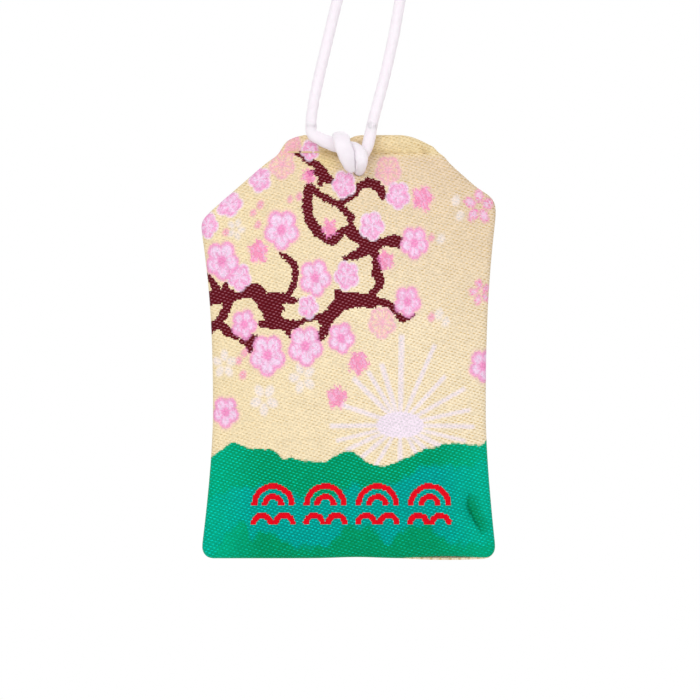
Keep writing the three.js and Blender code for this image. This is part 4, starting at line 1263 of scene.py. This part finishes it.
def laid_line(name, line, radius, around, step, relief):
    """A closed round line of thread or cord along a path in millimetres. relief gives the share of
    the radius by turn and length; a fourth number along the path spreads it flat on the cloth."""
    walk, along = walked(np.asarray(line, float), step)
    path = walk[:, :3]
    sides, fronts = carried_sides(path)
    piece, column, row = woven_grid(name, around, len(path) - 1)
    turn = 2 * np.pi * column / around
    end_gap = np.minimum(along, along[-1] - along)
    taper = 1 - END_NARROWING * (1 - levelling(end_gap / (END_TAPER * radius)))
    dome = quarter_round(end_gap / (END_DOME * radius)) * taper
    reach = radius * relief(turn, along[row]) * dome[row]
    offset = sides[row] * (reach * np.cos(turn))[:, None] + fronts[row] * (reach * np.sin(turn))[:, None]
    if walk.shape[1] > 3:
        ways = np.gradient(path, axis=0)
        wide = np.stack([-ways[:, 2], np.zeros(len(path)), ways[:, 0]], axis=1)
        level = np.linalg.norm(wide, axis=1, keepdims=True)
        wide = np.where(level > 0.5 * step, wide / np.maximum(level, 1e-9), (1.0, 0.0, 0.0))
        across = np.sum(offset * wide[row], axis=1, keepdims=True) * wide[row]
        spread = walk[row, 3:4]
        offset = across * spread + (offset - across) * spread**SPREAD_THINNING
    move_points(piece, to_frame(path[row] + offset))
    line_map = piece.data.uv_layers.active
    line_map.name = "lay"
    bpy.ops.object.mode_set(mode="EDIT")
    bpy.ops.mesh.select_all(action="SELECT")
    bpy.ops.mesh.remove_doubles(threshold=1e-6)
    bpy.ops.mesh.normals_make_consistent(inside=False)
    bpy.ops.object.mode_set(mode="OBJECT")
    bpy.ops.object.shade_smooth()
    return piece, to_frame(path)


def two_ply(turn, along):
    return 0.86 + PLY_RELIEF * np.abs(np.cos(turn - 2 * np.pi * along / PLY_TURN))


def thread_finish():
    finish, board, shader = new_finish("sewing_thread", 0.55, Specular_IOR_Level=0.35)
    place = board.node("ShaderNodeTexCoord", output="Object")
    fuzz = board.noise(place, 9000.0, 3.0)
    board.feed(shader, {"Base Color": board.mix(fuzz, linear(208, 182, 132), linear(*THREAD_DYE))})
    board.feed(shader, {"Normal": board.bump(fuzz, 0.4, 0.00003)})
    return finish


def mouth_stitches(side, crown):
    start = left_edge(SEAM_HEIGHT) + THREAD_INSET
    end = right_edge(SEAM_HEIGHT) - THREAD_INSET
    steps = round((end - start) / STITCH_LENGTH) * STITCH_STEPS
    share = np.arange(steps + 1) / steps
    x = start + (end - start) * share
    bow = np.abs(np.sin(np.pi * share * steps / STITCH_STEPS)) ** 0.5
    height = np.full_like(x, SEAM_HEIGHT)
    depth = panel_depth(x, height, crown) + (STITCH_RISE + STITCH_DIP) * bow - STITCH_DIP
    return smooth_line(np.stack([x, side * depth, height], axis=1), 4)


def edge_stitches():
    corner = BOTTOM_CORNER_RADIUS + THREAD_INSET
    rises = np.linspace(1, 0.08, 6)
    left_rise = THREAD_INSET + (LEFT_SHOULDER_HEIGHT - corner - THREAD_INSET) * rises
    right_rise = THREAD_INSET + (RIGHT_SHOULDER_HEIGHT - corner - THREAD_INSET) * rises[::-1]
    base = np.linspace(-1, 1, 5) * (BASE_HALF_WIDTH - corner)
    x = np.concatenate([left_edge(left_rise) + THREAD_INSET, base, right_edge(right_rise) - THREAD_INSET])
    height = np.concatenate([left_rise, np.full(5, THREAD_INSET), right_rise])
    return smooth_line(np.stack([x, np.zeros_like(x), height], axis=1), 8)


sewing_thread = thread_finish()
needle_line = mouth_stitches(FRONT, FRONT_CROWN)
bobbin_line = mouth_stitches(BACK, BACK_CROWN)
SEAMS = {
    "edge_seam_line": ("edge_seam_thread", edge_stitches(), EDGE_THREAD_DIAMETER),
    "mouth_stitches_front": ("mouth_needle_thread", needle_line, MOUTH_THREAD_DIAMETER),
    "mouth_stitches_back": ("mouth_bobbin_thread", bobbin_line, MOUTH_THREAD_DIAMETER),
}
for name, (node, line, diameter) in SEAMS.items():
    seam, _ = laid_line(name, line, diameter / 2, THREAD_AROUND, THREAD_STEP, two_ply)
    seam.data.materials.append(sewing_thread)
    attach(seam, "pouch")
    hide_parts(node)

# The hitch: the cord comes down on the left, passes under its own leg, goes in at the hole, climbs
# the back, comes over the mouth as the leg and leaves on the right. The cord is an eight-strand plait.
CORD_DIAMETER = 2.0
CORD_AROUND = 40
CORD_STEP = 0.12
ROUTE_STEPS = 16
PLAIT_STRANDS = 4
PLAIT_LENGTH = 1.9
PLAIT_RELIEF = 0.06
HIGH_LEVEL = -4.92
BACK_LEVEL = 2.5
# The hitch's way round: across, out of the seam plane, below the mouth, and how far the cord spreads
HITCH_PLACES = [
    (-6.59, CORD_LEVEL, -2.2, 1.0), (-6.6, CORD_LEVEL, -1.2, 1.0), (-6.58, CORD_LEVEL, -0.5, 1.02),
    (-6.2, CORD_LEVEL, 0.25, 1.08), (-5.0, CORD_LEVEL, 0.95, 1.15), (-3.4, CORD_LEVEL, 1.65, 1.25),
    (-1.7, CORD_LEVEL, 2.2, 1.25), (-0.1, -2.7, 2.35, 1.1), (1.25, -3.4, 2.75, 1.05),
    (2.05, -4.3, 3.6, 1.1), (2.3, -4.65, 4.6, 1.15), (2.3, -4.2, 5.35, 1.05), (2.15, -3.1, 5.95, 1.0),
    (1.95, -1.8, 6.3, 1.0), (1.9, 0, 6.3, 1.0), (1.75, 1.7, 6.15, 1.0), (1.25, BACK_LEVEL, 5.2, 1.05),
    (0.3, 2.65, 3.4, 1.1), (-0.75, BACK_LEVEL, 1.7, 1.15), (-1.25, 1.7, 0.55, 1.25),
    (-1.45, 0, 0.3, 1.35), (-1.45, -2.0, 0.3, 1.45), (-1.3, -3.87, 0.9, 1.5),
    (-1.0, HIGH_LEVEL, 2.3, 1.5), (-0.4, -4.75, 3.9, 1.5), (0.1, -3.95, 5.2, 1.35),
    (0.45, -3.0, 5.9, 1.1), (0.95, -2.65, 5.45, 1.0), (1.7, CORD_LEVEL, 4.8, 1.0),
    (2.55, CORD_LEVEL, 3.85, 1.0), (3.2, CORD_LEVEL, 2.6, 1.05), (3.65, CORD_LEVEL, 1.0, 1.1),
    (3.9, CORD_LEVEL, -0.2, 1.05), (4.1, CORD_LEVEL, -1.2, 1.0), (4.33, CORD_LEVEL, -2.2, 1.0),
]


def plait(turn, along):
    """Relief of a round plait: strands of both hands passing over and under each other."""
    right = PLAIT_STRANDS * turn / (2 * np.pi) + along / PLAIT_LENGTH
    left = PLAIT_STRANDS * turn / (2 * np.pi) - along / PLAIT_LENGTH
    over = (np.floor(right) + np.floor(left)) % 2 == 0
    across = np.where(over, right, left) % 1 - 0.5
    lengthwise = np.where(over, left, right) % 1 - 0.5
    strand = np.cos(np.pi * across) ** 0.7 * (1 - 0.9 * lengthwise**2)
    return 1 - PLAIT_RELIEF * (1 - strand)


def cord_finish():
    """White polyester cord: fine filaments along the strands, faintly rosy where light is lost."""
    finish, board, shader = new_finish(
        "white_cord", 0.6, Specular_IOR_Level=0.3, Sheen_Weight=0.2, Sheen_Roughness=0.5,
        Subsurface_Weight=0.5, Subsurface_Radius=(1.0, 0.9, 0.95), Subsurface_Scale=0.0012,
    )
    place = board.node("ShaderNodeTexCoord", output="Object")
    fibre = board.noise(place, 5200.0, 4.0)
    tint = board.noise(place, 260.0, 2.0)
    pale = board.mix(fibre * 0.7 + tint * 0.3, linear(238, 229, 237), linear(247, 241, 246))
    board.feed(shader, {"Base Color": pale})
    board.feed(shader, {"Normal": board.bump(fibre, 0.5, 0.00006)})
    return finish


white_cord = cord_finish()
hitch_route = [(x, y, POUCH_HEIGHT - drop, spread) for x, y, drop, spread in HITCH_PLACES]
hitch_line = smooth_line(hitch_route, ROUTE_STEPS)
hitch, _ = laid_line("hitched_cord", hitch_line, CORD_DIAMETER / 2, CORD_AROUND, CORD_STEP, plait)
hitch.data.materials.append(white_cord)
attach(hitch, "pouch")
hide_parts("cord_hitch")

# The loop's two strands: the same cord, running up from the hitch to the end knot. The left strand
# goes on through the knot to its own tail. Both bend where the pouch swings on them.
KNOT_PLACE = (8.35, 121.9)
KNOT_LEAN = math.radians(12)
KNOT_SIDE = 1.2
KNOT_BACK = 0.6
LEFT_STRAND_PLACES = [
    (-6.6, 75.3), (-6.6, 76.2), (-6.58, 77.5), (-6.3, 79.6), (-5.85, 82), (-5.3, 84.5), (-4.75, 87),
    (-4.15, 89.5), (-3.55, 92), (-2.95, 94.5), (-2.35, 97), (-1.7, 99.5), (-1, 102), (-0.2, 104.5),
    (0.8, 107), (2, 109.5), (3.3, 112), (4.6, 114.5), (5.75, 117), (6.6, 119.5),
]
RIGHT_STRAND_PLACES = [
    (3.93, 75.3), (4.1, 76.2), (4.4, 77.5), (4.95, 79.6), (5.6, 82), (6.25, 84.5), (6.85, 87), (7.4, 89.5),
    (7.95, 92), (8.4, 94.5), (8.85, 97), (9.25, 99.5), (9.6, 102), (9.9, 104.5), (10.1, 107), (10.15, 109.5),
    (10.1, 112), (9.9, 114.5), (9.6, 117), (9.35, 119.5),
]


def in_knot(across, back, along):
    """A place in the end knot: across the loop, towards the back, and up its leaning axis."""
    lean_x, lean_z = math.sin(KNOT_LEAN), math.cos(KNOT_LEAN)
    x = KNOT_PLACE[0] + across * lean_z + along * lean_x
    return x, CORD_LEVEL + back, KNOT_PLACE[1] - across * lean_x + along * lean_z


left_route = [(x, CORD_LEVEL, z) for x, z in LEFT_STRAND_PLACES]
left_route += [in_knot(-KNOT_SIDE, KNOT_BACK, along) for along in (0, 2.5, 5, 7.5)]
left_route += [in_knot(-1.7, 0.8, 11.5)]
right_route = [(x, CORD_LEVEL, z) for x, z in RIGHT_STRAND_PLACES]
right_route += [in_knot(KNOT_SIDE, KNOT_BACK, 0), in_knot(KNOT_SIDE, KNOT_BACK, 0.8)]
STRANDS = {"left_cord": ("left_strand", left_route), "right_cord": ("right_strand", right_route)}
strands = []
for name, (node, route) in STRANDS.items():
    line = smooth_line(route, ROUTE_STEPS)
    strand, path = laid_line(name, line, CORD_DIAMETER / 2, CORD_AROUND, CORD_STEP, plait)
    strand.data.materials.append(white_cord)
    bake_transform(strand)
    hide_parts(node)
    strands.append((strand, path))

# The end knot: the right strand is tied round the left one in an overhand knot and pulled tight,
# with its cut end melted round so that the plait can't run.
KNOT_WRAP_RADIUS = 3.75
KNOT_WRAP_PITCH = 2.4
KNOT_WRAP_TURNS = 1.17
KNOT_WRAP_TOP = 4.5
KNOT_WRAP_START = math.radians(10)
KNOT_WRAP_POINTS = 14
KNOT_STEPS = 12
knot_route = [
    (KNOT_SIDE, KNOT_BACK, 0.3), (KNOT_SIDE, KNOT_BACK, 2.2), (KNOT_SIDE, KNOT_BACK, 4.1),
    (1.4, 0.9, 5.3), (1.9, 1.5, 6.0), (2.65, 2.0, 5.85), (3.4, 1.7, 5.15),
]
for point in range(KNOT_WRAP_POINTS + 1):
    turns = KNOT_WRAP_TURNS * point / KNOT_WRAP_POINTS
    angle = KNOT_WRAP_START - 2 * math.pi * turns
    wrap_place = (math.cos(angle) * KNOT_WRAP_RADIUS, math.sin(angle) * KNOT_WRAP_RADIUS)
    knot_route.append((*wrap_place, KNOT_WRAP_TOP - KNOT_WRAP_PITCH * turns))
knot_route += [
    (0.9, -3.7, 1.2), (0.3, -3.8, 0.4), (0.05, -3.45, -0.4), (0, -2.7, -0.75), (0, -1.9, -0.4),
    (0, -1.5, 0.5), (0, -1.5, 4.6), (0.1, -1.6, 7.5), (0.6, -2.1, 10.5),
]
knot_line = smooth_line([in_knot(*place) for place in knot_route], KNOT_STEPS)
knot, _ = laid_line("end_knot_cord", knot_line, CORD_DIAMETER / 2, CORD_AROUND, CORD_STEP, plait)
knot.data.materials.append(white_cord)
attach(knot, "cord_loop")
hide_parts("end_knot")
for strand, path in strands:
    length = float(np.linalg.norm(np.diff(path, axis=0), axis=1).sum())
